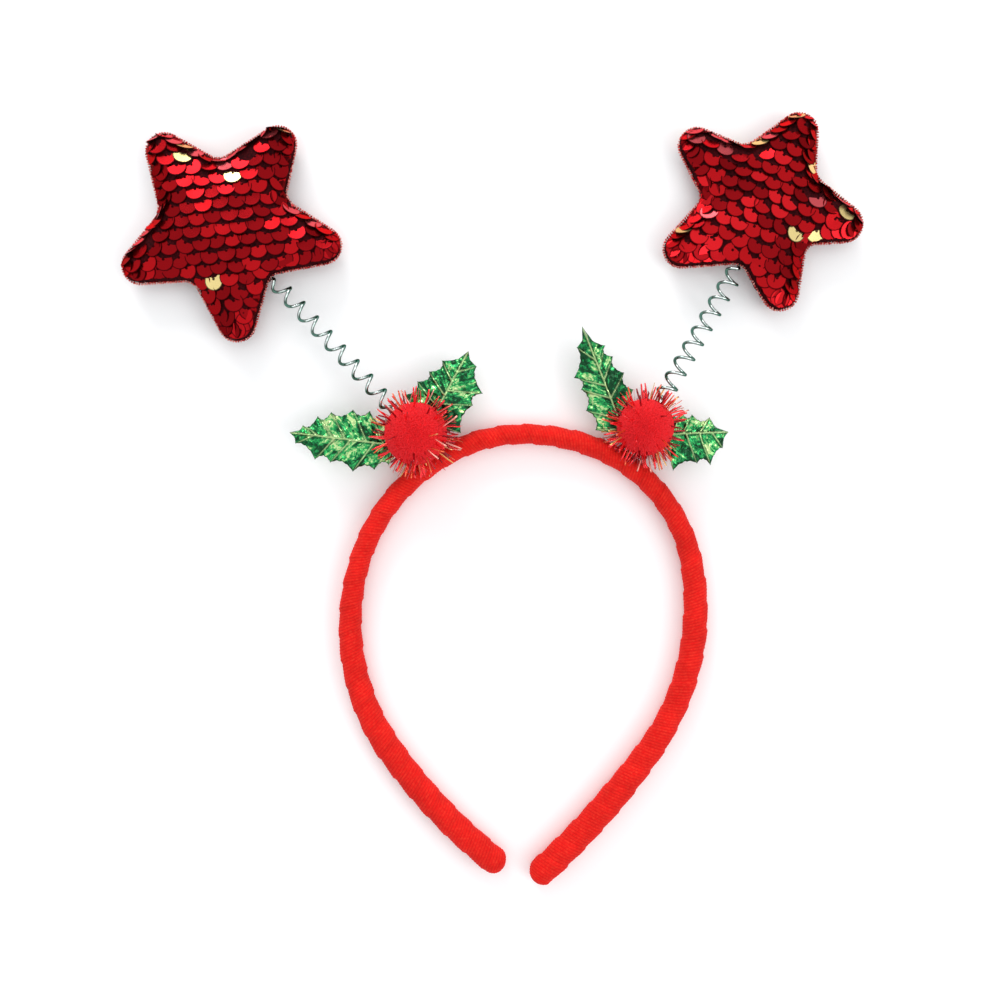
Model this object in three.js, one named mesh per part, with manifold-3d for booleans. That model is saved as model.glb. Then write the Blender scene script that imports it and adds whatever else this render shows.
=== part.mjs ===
// A Christmas headband lying on a table: a hoop wound with red ribbon, two stuffed sequin stars on
// wire springs, a red pompom over each spring's foot and two holly leaves behind each pompom.
// Millimetres, +Z up. X and Y lie in the table's plane, with the crown of the hoop towards +Y.
import * as THREE from "three";
import { mergeVertices } from "three/addons/utils/BufferGeometryUtils.js";
import Module from "manifold-3d";

// Hoop and its winding
const HOOP_WIDTH = 132.6; // between the middles of the two sides, where they are widest apart
const BAND_WIDTH = 9.8; // wound thickness in the plane of the hoop, at the tips
const BAND_DEPTH = 10; // wound thickness square to that plane
const BAND_TIP_ROUND = 5; // length over which each tip closes
const BAND_PRESSED = 0.35; // how far the winding is flattened where it rests
const WRAP_PITCH = 9.5; // along the hoop, from one turn of ribbon to the next
const WRAP_STEP = 0.45; // how far the edge of a turn stands above the last one
const BAND_SIDES = 12;

// Springs
const WIRE_DIAMETER = 0.95;
const WIRE_SIDES = 6;
const COIL_TURNS = 9;
const POINTS_PER_TURN = 10;
const COIL_RISE = 3; // height of the coil's middle over the top of the band, at the pompom
const FOOT_DEPTH = 5; // length of wire sunk into the band
const STAR_TAIL = 5; // length of wire sewn into the star

// Stars
const STAR_THICKNESS = 17;
const STAR_TIP_ROUND = 7.1;
const STAR_NOTCH_ROUND = 4;
const STAR_PRESSED = 0.9; // share of half the thickness that is left under the seam where it rests
const STAR_FILL_DEPTH = 23; // distance in from the seam at which the stuffing reaches full height
const STAR_EDGE_POINTS = 60;
const STAR_RINGS = [0.38, 0.68, 0.88, 1]; // shares of the way from the middle to the seam

// Pompoms
const LOCK_WIDTH = 2.6;
const LOCK_SIDES = 4;
const CORE_DETAIL = 3;

// Leaves
const LEAF_WIDTH = 24;
const LEAF_THICKNESS = 1.2;
const LEAF_RIDGE = 1.6; // rise of the midrib over the edges
const LEAF_STEM_WIDTH = 4;
const LEAF_SCALLOP = 2.2; // how deep the edge dips between two spines
const SAMPLES_PER_SPINE = 4;

const FIT_GAP = 0.3; // between pieces that seat on or in each other

// The middle line of each side of the hoop, arc by arc from the crown to its tip.
// Each radius is a share of half of HOOP_WIDTH, and each turn is in degrees.
const HOOP_ARCS = {
  left: [
    { radius: 0.891, turn: 21.4 },
    { radius: 1.05, turn: 51.4 },
    { radius: 1.253, turn: 52.7 },
    { radius: 3.18, turn: 16.9 },
  ],
  right: [
    { radius: 1.124, turn: 24.0 },
    { radius: 0.884, turn: 55.5 },
    { radius: 1.409, turn: 46.5 },
    { radius: 4.65, turn: 12.3 },
  ],
};

// Width of the winding along the hoop, from the left tip at 0 to the right tip at 1,
// as a share of BAND_WIDTH.
const WINDING_WIDTHS = [
  { along: 0, width: 0.98 },
  { along: 0.14, width: 0.96 },
  { along: 0.23, width: 0.84 },
  { along: 0.31, width: 0.74 },
  { along: 0.42, width: 0.76 },
  { along: 0.49, width: 0.7 },
  { along: 0.57, width: 0.77 },
  { along: 0.66, width: 0.74 },
  { along: 0.74, width: 0.88 },
  { along: 0.82, width: 0.87 },
  { along: 0.9, width: 1 },
  { along: 1, width: 1 },
];

// One turn of ribbon in section: how far the winding stands out, as a share of WRAP_STEP,
// from the leading edge of the turn at 0 to the next edge at 1.
const WRAP_PROFILE = [
  { at: 0, rise: 0 },
  { at: 0.13, rise: 1 },
  { at: 0.56, rise: 0.5 },
];

// Stars, counterclockwise from the first point. Angles are in degrees from +X. The reach of each
// point, and of the notch after it, is a share of the star's own reach. sewn is the row whose notch
// takes the spring.
const STARS = {
  left: {
    reach: 45.2,
    sewn: 3,
    outline: [
      { point: 59, out: 0.99, notch: 96, dip: 0.585 },
      { point: 129, out: 1, notch: 165, dip: 0.59 },
      { point: 203, out: 0.955, notch: 236, dip: 0.53 },
      { point: 276, out: 0.96, notch: 312, dip: 0.535 },
      { point: 350, out: 0.98, notch: 386, dip: 0.555 },
    ],
  },
  right: {
    reach: 41.2,
    sewn: 2,
    outline: [
      { point: 63, out: 0.965, notch: 102, dip: 0.585 },
      { point: 136, out: 0.99, notch: 170, dip: 0.545 },
      { point: 208, out: 1, notch: 250, dip: 0.55 },
      { point: 283, out: 0.98, notch: 319, dip: 0.555 },
      { point: 349, out: 0.965, notch: 388, dip: 0.59 },
    ],
  },
};

// Pompoms. along is the place of the foot, as a share of its side of the hoop from the crown.
// stand and lift are how far the middle lies out from the band's edge and up from its top,
// as shares of the core's radius.
const POMPOMS = {
  left: { core: 11.4, along: 0.162, stand: 0.73, lift: 0.44 },
  right: { core: 10.4, along: 0.172, stand: 1.06, lift: 0.24 },
};

// Springs. turn is the way from the pompom to the star in degrees from +X, and length is the
// distance in plan from the middle of the pompom to the seam of the star.
const SPRINGS = {
  left: { turn: 132.9, length: 82.2, coil: 6.8 },
  right: { turn: 59.7, length: 72.4, coil: 7.45 },
};

// Locks that stand out of a pompom, ring by ring. tilt is in degrees above the table's plane, and
// reach is a share of the core's radius, measured from its middle.
const LOCK_RINGS = [
  { tilt: -46, locks: 7, reach: 1.3 },
  { tilt: -18, locks: 12, reach: 1.5 },
  { tilt: 10, locks: 12, reach: 1.42 },
  { tilt: 40, locks: 8, reach: 1.22 },
];

// Leaves. x and y place the stem's end from the middle of the pompom, as shares of the core's
// radius. The spines of each edge run from the stem to the tip: along is a share of the leaf's
// length and out a share of LEAF_WIDTH. Left and right are seen from above, looking to the tip.
const LEAVES = {
  left: {
    outer: {
      x: -0.73,
      y: -0.37,
      turn: 173,
      length: 39.8,
      leftSpines: [
        { along: 0.03, out: 0.32 },
        { along: 0.16, out: 0.42 },
        { along: 0.36, out: 0.49 },
        { along: 0.58, out: 0.39 },
        { along: 0.73, out: 0.375 },
        { along: 0.93, out: 0.16 },
      ],
      rightSpines: [
        { along: 0.1, out: 0.33 },
        { along: 0.27, out: 0.49 },
        { along: 0.43, out: 0.48 },
        { along: 0.63, out: 0.4 },
        { along: 0.75, out: 0.31 },
        { along: 0.88, out: 0.14 },
      ],
    },
    inner: {
      x: 0.43,
      y: 0.31,
      turn: 62,
      length: 31.4,
      leftSpines: [
        { along: 0.177, out: 0.57 },
        { along: 0.39, out: 0.49 },
        { along: 0.56, out: 0.4 },
        { along: 0.75, out: 0.3 },
      ],
      rightSpines: [
        { along: 0.09, out: 0.5 },
        { along: 0.45, out: 0.46 },
        { along: 0.63, out: 0.51 },
        { along: 0.88, out: 0.23 },
      ],
    },
  },
  right: {
    inner: {
      x: -0.79,
      y: -0.14,
      turn: 111.5,
      length: 42.5,
      leftSpines: [
        { along: 0.1, out: 0.4 },
        { along: 0.29, out: 0.43 },
        { along: 0.48, out: 0.38 },
        { along: 0.6, out: 0.415 },
        { along: 0.84, out: 0.2 },
      ],
      rightSpines: [
        { along: 0.1, out: 0.33 },
        { along: 0.31, out: 0.385 },
        { along: 0.48, out: 0.35 },
        { along: 0.65, out: 0.28 },
        { along: 0.765, out: 0.23 },
      ],
    },
    outer: {
      x: 0.71,
      y: -0.25,
      turn: 2,
      length: 24,
      leftSpines: [
        { along: 0.1, out: 0.34 },
        { along: 0.28, out: 0.355 },
        { along: 0.44, out: 0.3 },
        { along: 0.71, out: 0.245 },
      ],
      rightSpines: [
        { along: 0.11, out: 0.575 },
        { along: 0.49, out: 0.475 },
        { along: 0.7, out: 0.51 },
        { along: 0.9, out: 0.25 },
      ],
    },
  },
};

const BAND_MIDDLE = BAND_DEPTH / 2 - BAND_PRESSED;
const BAND_TOP = BAND_MIDDLE + BAND_DEPTH / 2 + WRAP_STEP;
const STAR_MIDDLE = (STAR_THICKNESS / 2) * STAR_PRESSED;
const SIDES = ["left", "right"];

const radians = THREE.MathUtils.degToRad;
const UP = new THREE.Vector3(0, 0, 1);

const wasm = await Module();
wasm.setup();

// Solids

function geometryOf(points, triangles) {
  const geometry = new THREE.BufferGeometry().setFromPoints(points);
  geometry.setIndex(triangles);
  return geometry;
}

function solidOf(geometry) {
  const bare = geometry.clone();
  bare.deleteAttribute("normal");
  bare.deleteAttribute("uv");
  const merged = mergeVertices(bare);
  return new wasm.Manifold(
    new wasm.Mesh({
      numProp: 3,
      vertProperties: merged.attributes.position.array,
      triVerts: Uint32Array.from(merged.index.array),
    }),
  );
}

function meshGeometryOf(solid) {
  const mesh = solid.getMesh();
  const geometry = new THREE.BufferGeometry();
  geometry.setAttribute("position", new THREE.BufferAttribute(mesh.vertProperties, 3));
  geometry.setIndex(new THREE.BufferAttribute(mesh.triVerts, 1));
  return geometry;
}

// The largest body of a solid: what a cut leaves loose isn't part of the piece.
function mainBody(solid) {
  return solid.decompose().reduce((a, b) => (a.volume() > b.volume() ? a : b));
}

function polar(degrees, distance) {
  const angle = radians(degrees);
  return new THREE.Vector2(Math.cos(angle) * distance, Math.sin(angle) * distance);
}

// A straight-sided ramp through the rows of a table.
function valueAt(rows, key, value, share) {
  const next = rows.findIndex((row) => row[key] >= share);
  if (next < 0) return rows.at(-1)[value];
  if (next === 0) return rows[0][value];
  const [a, b] = [rows[next - 1], rows[next]];
  return THREE.MathUtils.mapLinear(share, a[key], b[key], a[value], b[value]);
}

// Hoop

// The arcs of one side, each with its start and the way that it starts in.
function arcsOf(rows) {
  const arcs = [];
  let start = { x: 0, y: 0, heading: 0, distance: 0 };
  for (const row of rows) {
    const radius = (row.radius * HOOP_WIDTH) / 2;
    const length = radius * radians(row.turn);
    const arc = { ...start, radius, length };
    arcs.push(arc);
    start = { ...pointOnArc(arc, length), distance: start.distance + length };
  }
  return arcs;
}

// heading is the way along the arc, in radians clockwise from +X.
function pointOnArc({ x, y, heading, radius }, length) {
  const turned = heading + length / radius;
  return {
    x: x + radius * (Math.sin(turned) - Math.sin(heading)),
    y: y - radius * (Math.cos(heading) - Math.cos(turned)),
    heading: turned,
  };
}

const hoopArcs = { left: arcsOf(HOOP_ARCS.left), right: arcsOf(HOOP_ARCS.right) };

function sideLength(side) {
  const last = hoopArcs[side].at(-1);
  return last.distance + last.length;
}

const HOOP_LENGTH = sideLength("left") + sideLength("right");

// A point of the middle line and the way out from the hoop there, from the left tip at 0.
function hoopAt(along) {
  const fromCrown = along - sideLength("left");
  const side = fromCrown < 0 ? "left" : "right";
  const distance = Math.abs(fromCrown);
  const arc = hoopArcs[side].findLast((one) => one.distance <= distance);
  const { x, y, heading } = pointOnArc(arc, distance - arc.distance);
  const sign = Math.sign(fromCrown) || 1;
  return {
    middle: new THREE.Vector3(sign * x, y, BAND_MIDDLE),
    out: new THREE.Vector3(sign * Math.sin(heading), Math.cos(heading), 0),
  };
}

function windingWidth(along) {
  return BAND_WIDTH * valueAt(WINDING_WIDTHS, "along", "width", along / HOOP_LENGTH);
}

// A point of the winding: angle goes round the section from the outer edge over the top,
// and stand is added all round.
function windingPoint(along, angle, stand) {
  const { middle, out } = hoopAt(along);
  const fromTip = Math.min(along, HOOP_LENGTH - along);
  const open = Math.max(0, 1 - fromTip / BAND_TIP_ROUND);
  const closing = Math.sqrt(1 - open * open);
  const across = closing * (windingWidth(along) / 2 + stand) * Math.cos(angle);
  const height = closing * (BAND_DEPTH / 2 + stand) * Math.sin(angle);
  return middle.addScaledVector(out, across).addScaledVector(UP, height);
}

// The ribbon is wound from tip to tip, so its rows of points run on round the hoop as a thread does.
// Near each tip the turns close up into the tip's middle.
function bandGeometry() {
  const turns = Math.round(HOOP_LENGTH / WRAP_PITCH) + 1;
  const pitch = HOOP_LENGTH / (turns - 1);
  const rings = WRAP_PROFILE.length;
  const points = [hoopAt(0).middle, hoopAt(HOOP_LENGTH).middle];
  const placed = new Map();

  const alongAt = (turn) => {
    if (turn < 1) return (pitch * turn * turn) / 2;
    if (turn > turns - 1) return HOOP_LENGTH - (pitch * (turns - turn) ** 2) / 2;
    return pitch * (turn - 0.5);
  };
  const vertex = (row, side) => {
    if (side === BAND_SIDES) return vertex(row + rings, 0);
    const profile = WRAP_PROFILE[THREE.MathUtils.euclideanModulo(row, rings)];
    const turn = Math.floor(row / rings) + profile.at + side / BAND_SIDES;
    if (turn <= 0) return 0;
    if (turn >= turns) return 1;
    const key = row * BAND_SIDES + side;
    if (!placed.has(key)) {
      const angle = (2 * Math.PI * side) / BAND_SIDES;
      const point = windingPoint(alongAt(turn), angle, profile.rise * WRAP_STEP);
      point.z = Math.max(point.z, 0);
      placed.set(key, points.push(point) - 1);
    }
    return placed.get(key);
  };

  const triangles = [];
  const addTriangle = (...corners) => {
    if (new Set(corners).size === 3) triangles.push(...corners);
  };
  for (let row = -rings; row < turns * rings; row++) {
    for (let side = 0; side < BAND_SIDES; side++) {
      const [a, b] = [vertex(row, side), vertex(row, side + 1)];
      const [c, d] = [vertex(row + 1, side + 1), vertex(row + 1, side)];
      addTriangle(a, b, c);
      addTriangle(a, c, d);
    }
  }
  return geometryOf(points, triangles);
}

// The band's outline with the fitting gap round it, along the stretch that a pompom sits on.
function bandClearance(from, to, steps) {
  const points = [hoopAt(from).middle, hoopAt(to).middle];
  const triangles = [];
  const stand = WRAP_STEP + FIT_GAP;
  for (let step = 0; step <= steps; step++) {
    const along = THREE.MathUtils.lerp(from, to, step / steps);
    for (let side = 0; side < BAND_SIDES; side++) {
      points.push(windingPoint(along, (2 * Math.PI * side) / BAND_SIDES, stand));
    }
  }
  const vertex = (step, side) => 2 + step * BAND_SIDES + (side % BAND_SIDES);
  for (let side = 0; side < BAND_SIDES; side++) {
    triangles.push(0, vertex(0, side + 1), vertex(0, side));
    triangles.push(1, vertex(steps, side), vertex(steps, side + 1));
    for (let step = 0; step < steps; step++) {
      const [a, b] = [vertex(step, side), vertex(step, side + 1)];
      const [c, d] = [vertex(step + 1, side + 1), vertex(step + 1, side)];
      triangles.push(a, b, c, a, c, d);
    }
  }
  return geometryOf(points, triangles);
}

// Places that the pieces share

function footAlong(side) {
  const distance = POMPOMS[side].along * sideLength(side);
  return sideLength("left") + (side === "left" ? -distance : distance);
}

function pompomMiddle(side) {
  const { core, stand, lift } = POMPOMS[side];
  const along = footAlong(side);
  const { middle, out } = hoopAt(along);
  const place = middle.addScaledVector(out, windingWidth(along) / 2 + stand * core);
  place.z = BAND_DEPTH + lift * core;
  return place;
}

function springAxis(side) {
  const { turn, length } = SPRINGS[side];
  const foot = pompomMiddle(side).setZ(BAND_TOP + COIL_RISE);
  const reach = polar(turn, length);
  const seam = new THREE.Vector3(foot.x + reach.x, foot.y + reach.y, STAR_MIDDLE);
  const way = seam.clone().sub(foot).normalize();
  return { foot, seam, way };
}

function starMiddle(side) {
  const { reach, sewn, outline } = STARS[side];
  const notch = polar(outline[sewn].notch, outline[sewn].dip * reach);
  return springAxis(side).seam.sub(new THREE.Vector3(notch.x, notch.y, 0));
}

// Springs

function wireSection(radius) {
  const corner = (index) => polar((360 * index) / WIRE_SIDES, radius);
  return new THREE.Shape(Array.from({ length: WIRE_SIDES }, (_, index) => corner(index)));
}

function wireGeometry(points, radius) {
  const path = new THREE.CatmullRomCurve3(points);
  path.arcLengthDivisions = points.length * POINTS_PER_TURN;
  const steps = points.length - 1;
  return new THREE.ExtrudeGeometry(wireSection(radius), { steps, extrudePath: path });
}

// The wire's foot: up out of the band, then over to the coil's axis in the middle of the pompom.
function footPoints(side) {
  const { foot } = springAxis(side);
  const { middle } = hoopAt(footAlong(side));
  const end = middle.clone().setZ(BAND_TOP - FOOT_DEPTH);
  const corner = middle.clone().setZ(foot.z);
  return new THREE.QuadraticBezierCurve3(end, corner, foot).getPoints(POINTS_PER_TURN);
}

function springPoints(side) {
  const { foot, seam, way } = springAxis(side);
  const radius = (SPRINGS[side].coil - WIRE_DIAMETER) / 2;
  const start = POMPOMS[side].core + WIRE_DIAMETER;
  const end = foot.distanceTo(seam) - WIRE_DIAMETER;
  const pitch = (end - start) / COIL_TURNS;
  const across = new THREE.Vector3().crossVectors(way, UP).normalize();
  const rise = new THREE.Vector3().crossVectors(way, across);
  const points = footPoints(side);
  const count = COIL_TURNS * POINTS_PER_TURN;
  for (let index = 0; index <= count; index++) {
    const turn = index / POINTS_PER_TURN;
    const angle = 2 * Math.PI * turn;
    const opened = Math.min(1, 2 * turn, 2 * (COIL_TURNS - turn));
    points.push(
      foot
        .clone()
        .addScaledVector(way, start + pitch * turn)
        .addScaledVector(across, opened * radius * Math.cos(angle))
        .addScaledVector(rise, opened * radius * Math.sin(angle)),
    );
  }
  points.push(seam.clone().addScaledVector(way, STAR_TAIL));
  return points;
}

// The hole that a wire's foot or tail sits in.
function sleeveGeometry(from, to) {
  const apothem = WIRE_DIAMETER / 2 + FIT_GAP;
  return wireGeometry([from, from.clone().lerp(to, 0.5), to], apothem / Math.cos(Math.PI / WIRE_SIDES));
}

function footSleeve(side) {
  const apothem = WIRE_DIAMETER / 2 + FIT_GAP;
  const points = footPoints(side);
  points[0].z -= FIT_GAP;
  const { foot, way } = springAxis(side);
  points.push(foot.clone().addScaledVector(way, POMPOMS[side].core + WIRE_DIAMETER));
  return wireGeometry(points, apothem / Math.cos(Math.PI / WIRE_SIDES));
}

// The room round the coil.
function coilClearance(side) {
  const { foot, seam, way } = springAxis(side);
  const from = POMPOMS[side].core;
  const length = foot.distanceTo(seam) - from;
  const radius = SPRINGS[side].coil / 2 + FIT_GAP;
  const room = new THREE.CylinderGeometry(radius, radius, length, BAND_SIDES);
  room.applyQuaternion(
    new THREE.Quaternion().setFromUnitVectors(new THREE.Vector3(0, 1, 0), way),
  );
  const middle = foot.clone().addScaledVector(way, from + length / 2);
  return room.translate(middle.x, middle.y, middle.z);
}

// Stars

// Straight sides run between round points and small hollows in the notches.
function starOutline({ reach, outline }) {
  const shape = new THREE.Shape();
  const notches = outline.map((row) => polar(row.notch, row.dip * reach));
  outline.forEach((row, index) => {
    const middle = polar(row.point, row.out * reach - STAR_TIP_ROUND);
    const [before, after] = [notches.at(index - 1), notches[index]];
    const angles = [before, after].map((notch, way) => {
      const line = notch.clone().sub(middle);
      const spread = Math.acos(STAR_TIP_ROUND / line.length());
      return line.angle() + (way ? -spread : spread);
    });
    const tipEnds = angles.map((angle) => {
      const outwards = new THREE.Vector2(Math.cos(angle), Math.sin(angle));
      return outwards.multiplyScalar(STAR_TIP_ROUND).add(middle);
    });
    const ease = (notch, end) => notch.clone().add(end.clone().sub(notch).setLength(STAR_NOTCH_ROUND));
    const easedIn = ease(before, tipEnds[0]);
    if (index === 0) shape.moveTo(easedIn.x, easedIn.y);
    else shape.quadraticCurveTo(before.x, before.y, easedIn.x, easedIn.y);
    shape.absarc(middle.x, middle.y, STAR_TIP_ROUND, angles[0], angles[1], false);
    const easedOut = ease(after, tipEnds[1]);
    shape.lineTo(easedOut.x, easedOut.y);
  });
  const [last, first] = [notches.at(-1), shape.curves[0].getPoint(0)];
  shape.quadraticCurveTo(last.x, last.y, first.x, first.y);
  return shape.getSpacedPoints(STAR_EDGE_POINTS).slice(0, STAR_EDGE_POINTS);
}

function distanceToEdge(point, edge) {
  const near = new THREE.Vector3();
  const flat = new THREE.Vector3(point.x, point.y, 0);
  const distances = edge.map((a, index) => {
    const b = edge[(index + 1) % edge.length];
    const side = new THREE.Line3(new THREE.Vector3(a.x, a.y, 0), new THREE.Vector3(b.x, b.y, 0));
    return side.closestPointToPoint(flat, true, near).distanceTo(flat);
  });
  return Math.min(...distances);
}

// The stuffing swells from the seam to full height, and the back is pressed flat by the table.
function starHeight(point, edge) {
  const fromSeam = Math.min(1, distanceToEdge(point, edge) / STAR_FILL_DEPTH);
  return (STAR_THICKNESS / 2) * Math.sqrt(1 - (1 - fromSeam) ** 2);
}

function starGeometry(star) {
  const edge = starOutline(star);
  const points = [];
  const top = [];
  const back = [];
  const addPoint = (x, y) => {
    const height = starHeight(new THREE.Vector2(x, y), edge);
    const ids = [points.push(new THREE.Vector3(x, y, height)) - 1];
    ids.push(points.push(new THREE.Vector3(x, y, -Math.min(height, STAR_MIDDLE))) - 1);
    return ids;
  };
  const [topMiddle, backMiddle] = addPoint(0, 0);
  STAR_RINGS.forEach((share) => {
    const ids = edge.map((point) => addPoint(point.x * share, point.y * share));
    top.push(ids.map((pair) => pair[0]));
    back.push(ids.map((pair) => pair[share === 1 ? 0 : 1]));
  });
  const triangles = [];
  edge.forEach((_, index) => {
    const next = (index + 1) % edge.length;
    triangles.push(topMiddle, top[0][index], top[0][next]);
    triangles.push(backMiddle, back[0][next], back[0][index]);
    for (let ring = 1; ring < STAR_RINGS.length; ring++) {
      const [a, b, c, d] = [top[ring - 1][index], top[ring][index], top[ring][next], top[ring - 1][next]];
      triangles.push(a, b, c, a, c, d);
      const [e, f, g, h] = [back[ring - 1][index], back[ring][index], back[ring][next], back[ring - 1][next]];
      triangles.push(e, g, f, e, h, g);
    }
  });
  return geometryOf(points, triangles);
}

// Leaves

// One edge from the stem to the tip, dipping between its spines.
function leafEdge(leaf, spines, sign, grow) {
  const width = LEAF_WIDTH;
  const rows = [
    { along: 0, out: LEAF_STEM_WIDTH / 2 / width },
    ...spines,
    { along: 1, out: 0 },
  ];
  const points = [];
  for (let index = 1; index < rows.length; index++) {
    const [a, b] = [rows[index - 1], rows[index]];
    for (let sample = 0; sample < SAMPLES_PER_SPINE; sample++) {
      const share = sample / SAMPLES_PER_SPINE;
      const along = THREE.MathUtils.lerp(a.along, b.along, share) * leaf.length;
      const straight = THREE.MathUtils.lerp(a.out, b.out, share) * width;
      const dip = index === 1 ? 0 : LEAF_SCALLOP * Math.sin(Math.PI * share);
      const out = Math.max(straight - dip, straight / 2) + grow;
      points.push(new THREE.Vector2(along, sign * out));
    }
  }
  points[0].x -= grow;
  return points;
}

// A pressed foil leaf, folded along its midrib. It lies along +X from its stem, its edges
// resting at z = 0. grow swells it into the slot that it is glued in.
function leafGeometry(leaf, grow) {
  const left = leafEdge(leaf, leaf.leftSpines, 1, grow);
  const right = leafEdge(leaf, leaf.rightSpines, -1, grow);
  const tip = new THREE.Vector2(leaf.length + grow, 0);
  const rows = left.map((point, index) => {
    const along = (point.x + right[index].x) / 2;
    return [right[index], new THREE.Vector2(along, 0), point];
  });
  const points = [];
  const addPoint = (point, middle) => {
    const fold = middle ? Math.sin(Math.PI * THREE.MathUtils.clamp(point.x / leaf.length, 0, 1)) : 0;
    const low = LEAF_RIDGE * Math.sqrt(fold);
    points.push(new THREE.Vector3(point.x, point.y, low + LEAF_THICKNESS + grow));
    points.push(new THREE.Vector3(point.x, point.y, low - grow));
  };
  rows.forEach((row) => row.forEach((point, column) => addPoint(point, column === 1)));
  addPoint(tip, false);
  const tipTop = points.length - 2;
  const top = (row, column) => (row * 3 + column) * 2;
  const triangles = [];
  const strip = (a, b, c, d) => {
    triangles.push(a, b, c, a, c, d);
    triangles.push(a + 1, c + 1, b + 1, a + 1, d + 1, c + 1);
  };
  const wall = (a, b) => triangles.push(a, a + 1, b + 1, a, b + 1, b);
  for (let row = 1; row < rows.length; row++) {
    for (let column = 1; column < 3; column++) {
      strip(top(row - 1, column - 1), top(row, column - 1), top(row, column), top(row - 1, column));
    }
    wall(top(row - 1, 0), top(row, 0));
    wall(top(row, 2), top(row - 1, 2));
  }
  const last = rows.length - 1;
  for (let column = 1; column < 3; column++) {
    const [a, b] = [top(last, column - 1), top(last, column)];
    triangles.push(a, tipTop, b, a + 1, b + 1, tipTop + 1);
    wall(top(0, column), top(0, column - 1));
  }
  wall(top(last, 0), tipTop);
  wall(tipTop, top(last, 2));
  return geometryOf(points, triangles);
}

// Where a leaf lies from the middle of its pompom.
function leafPlace(side, leaf) {
  const { core } = POMPOMS[side];
  const height = BAND_TOP + FIT_GAP - pompomMiddle(side).z;
  return new THREE.Vector3(leaf.x * core, leaf.y * core, height);
}

// Pompoms

function lockGeometry(direction, reach, core) {
  const [start, end] = [core / 2, reach * core];
  const lock = new THREE.ConeGeometry(LOCK_WIDTH / 2, end - start, LOCK_SIDES);
  lock.translate(0, (start + end) / 2, 0);
  return lock.applyQuaternion(
    new THREE.Quaternion().setFromUnitVectors(new THREE.Vector3(0, 1, 0), direction),
  );
}

function lockDirections() {
  return LOCK_RINGS.flatMap(({ tilt, locks, reach }, ring) =>
    Array.from({ length: locks }, (_, index) => {
      const turn = radians((360 * (index + ring / LOCK_RINGS.length)) / locks);
      const direction = new THREE.Vector3(Math.cos(turn), Math.sin(turn), 0)
        .multiplyScalar(Math.cos(radians(tilt)))
        .setZ(Math.sin(radians(tilt)));
      return { direction, reach };
    }),
  );
}

// A dense ball of foil strands with pointed locks standing out, cut to sit on the band and to take the
// spring's foot and the leaves' stems.
function pompomGeometry(side) {
  const { core } = POMPOMS[side];
  let solid = solidOf(new THREE.IcosahedronGeometry(core, CORE_DETAIL));
  for (const { direction, reach } of lockDirections()) {
    solid = solid.add(solidOf(lockGeometry(direction, reach, core)));
  }
  const middle = pompomMiddle(side);
  const along = footAlong(side);
  const reach = core + LOCK_WIDTH + BAND_DEPTH;
  const neighbours = [
    bandClearance(along - reach, along + reach, POINTS_PER_TURN),
    footSleeve(side),
    coilClearance(side),
  ];
  for (const neighbour of neighbours) {
    neighbour.translate(-middle.x, -middle.y, -middle.z);
    solid = solid.subtract(solidOf(neighbour));
  }
  for (const leaf of Object.values(LEAVES[side])) {
    const place = leafPlace(side, leaf);
    const slot = leafGeometry(leaf, FIT_GAP).rotateZ(radians(leaf.turn));
    solid = solid.subtract(solidOf(slot.translate(place.x, place.y, place.z)));
  }
  return meshGeometryOf(mainBody(solid));
}

// The assembly

const MATERIALS = {
  ribbon: new THREE.MeshStandardMaterial({ color: 0xe42a2a, roughness: 0.85, metalness: 0 }),
  wire: new THREE.MeshStandardMaterial({ color: 0xc9d2cf, roughness: 0.25, metalness: 1 }),
  sequins: new THREE.MeshStandardMaterial({ color: 0xa0161c, roughness: 0.3, metalness: 0.6 }),
  tinsel: new THREE.MeshStandardMaterial({ color: 0xe6222a, roughness: 0.6, metalness: 0.3 }),
  leaf: new THREE.MeshStandardMaterial({ color: 0x1e9650, roughness: 0.4, metalness: 0.6 }),
};

function piece(name, geometry, material) {
  geometry.computeVertexNormals();
  const mesh = new THREE.Mesh(geometry, MATERIALS[material]);
  mesh.name = name;
  return mesh;
}

function band() {
  let solid = solidOf(bandGeometry());
  for (const side of SIDES) solid = solid.subtract(solidOf(footSleeve(side)));
  return piece("band", meshGeometryOf(solid), "ribbon");
}

function star(side) {
  const middle = starMiddle(side);
  const { seam, way } = springAxis(side);
  const hole = sleeveGeometry(
    seam.clone().addScaledVector(way, -STAR_TAIL),
    seam.clone().addScaledVector(way, STAR_TAIL + FIT_GAP),
  ).translate(-middle.x, -middle.y, -middle.z);
  const solid = solidOf(starGeometry(STARS[side])).subtract(solidOf(hole));
  const mesh = piece(`${side}_star`, meshGeometryOf(solid), "sequins");
  mesh.position.copy(middle);
  return mesh;
}

function spring(side) {
  const geometry = wireGeometry(springPoints(side), WIRE_DIAMETER / 2);
  return piece(`${side}_spring`, geometry, "wire");
}

function pompomAndLeaves(side) {
  const group = new THREE.Group();
  group.position.copy(pompomMiddle(side));
  group.add(piece(`${side}_pompom`, pompomGeometry(side), "tinsel"));
  for (const [place, leaf] of Object.entries(LEAVES[side])) {
    const mesh = piece(`${side}_leaf_${place}`, leafGeometry(leaf, 0), "leaf");
    mesh.position.copy(leafPlace(side, leaf));
    mesh.rotation.z = radians(leaf.turn);
    group.add(mesh);
  }
  return group;
}

const pieces = new THREE.Group();
pieces.add(band());
for (const side of SIDES) pieces.add(spring(side), star(side), pompomAndLeaves(side));

// The origin is on the table, under the middle of the whole headband.
pieces.updateMatrixWorld(true);
const bounds = new THREE.Box3().setFromObject(pieces, true);
const centre = bounds.getCenter(new THREE.Vector3());
pieces.position.set(-centre.x, -centre.y, -bounds.min.z);

const headband = new THREE.Group();
headband.add(pieces);

export default headband;
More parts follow.
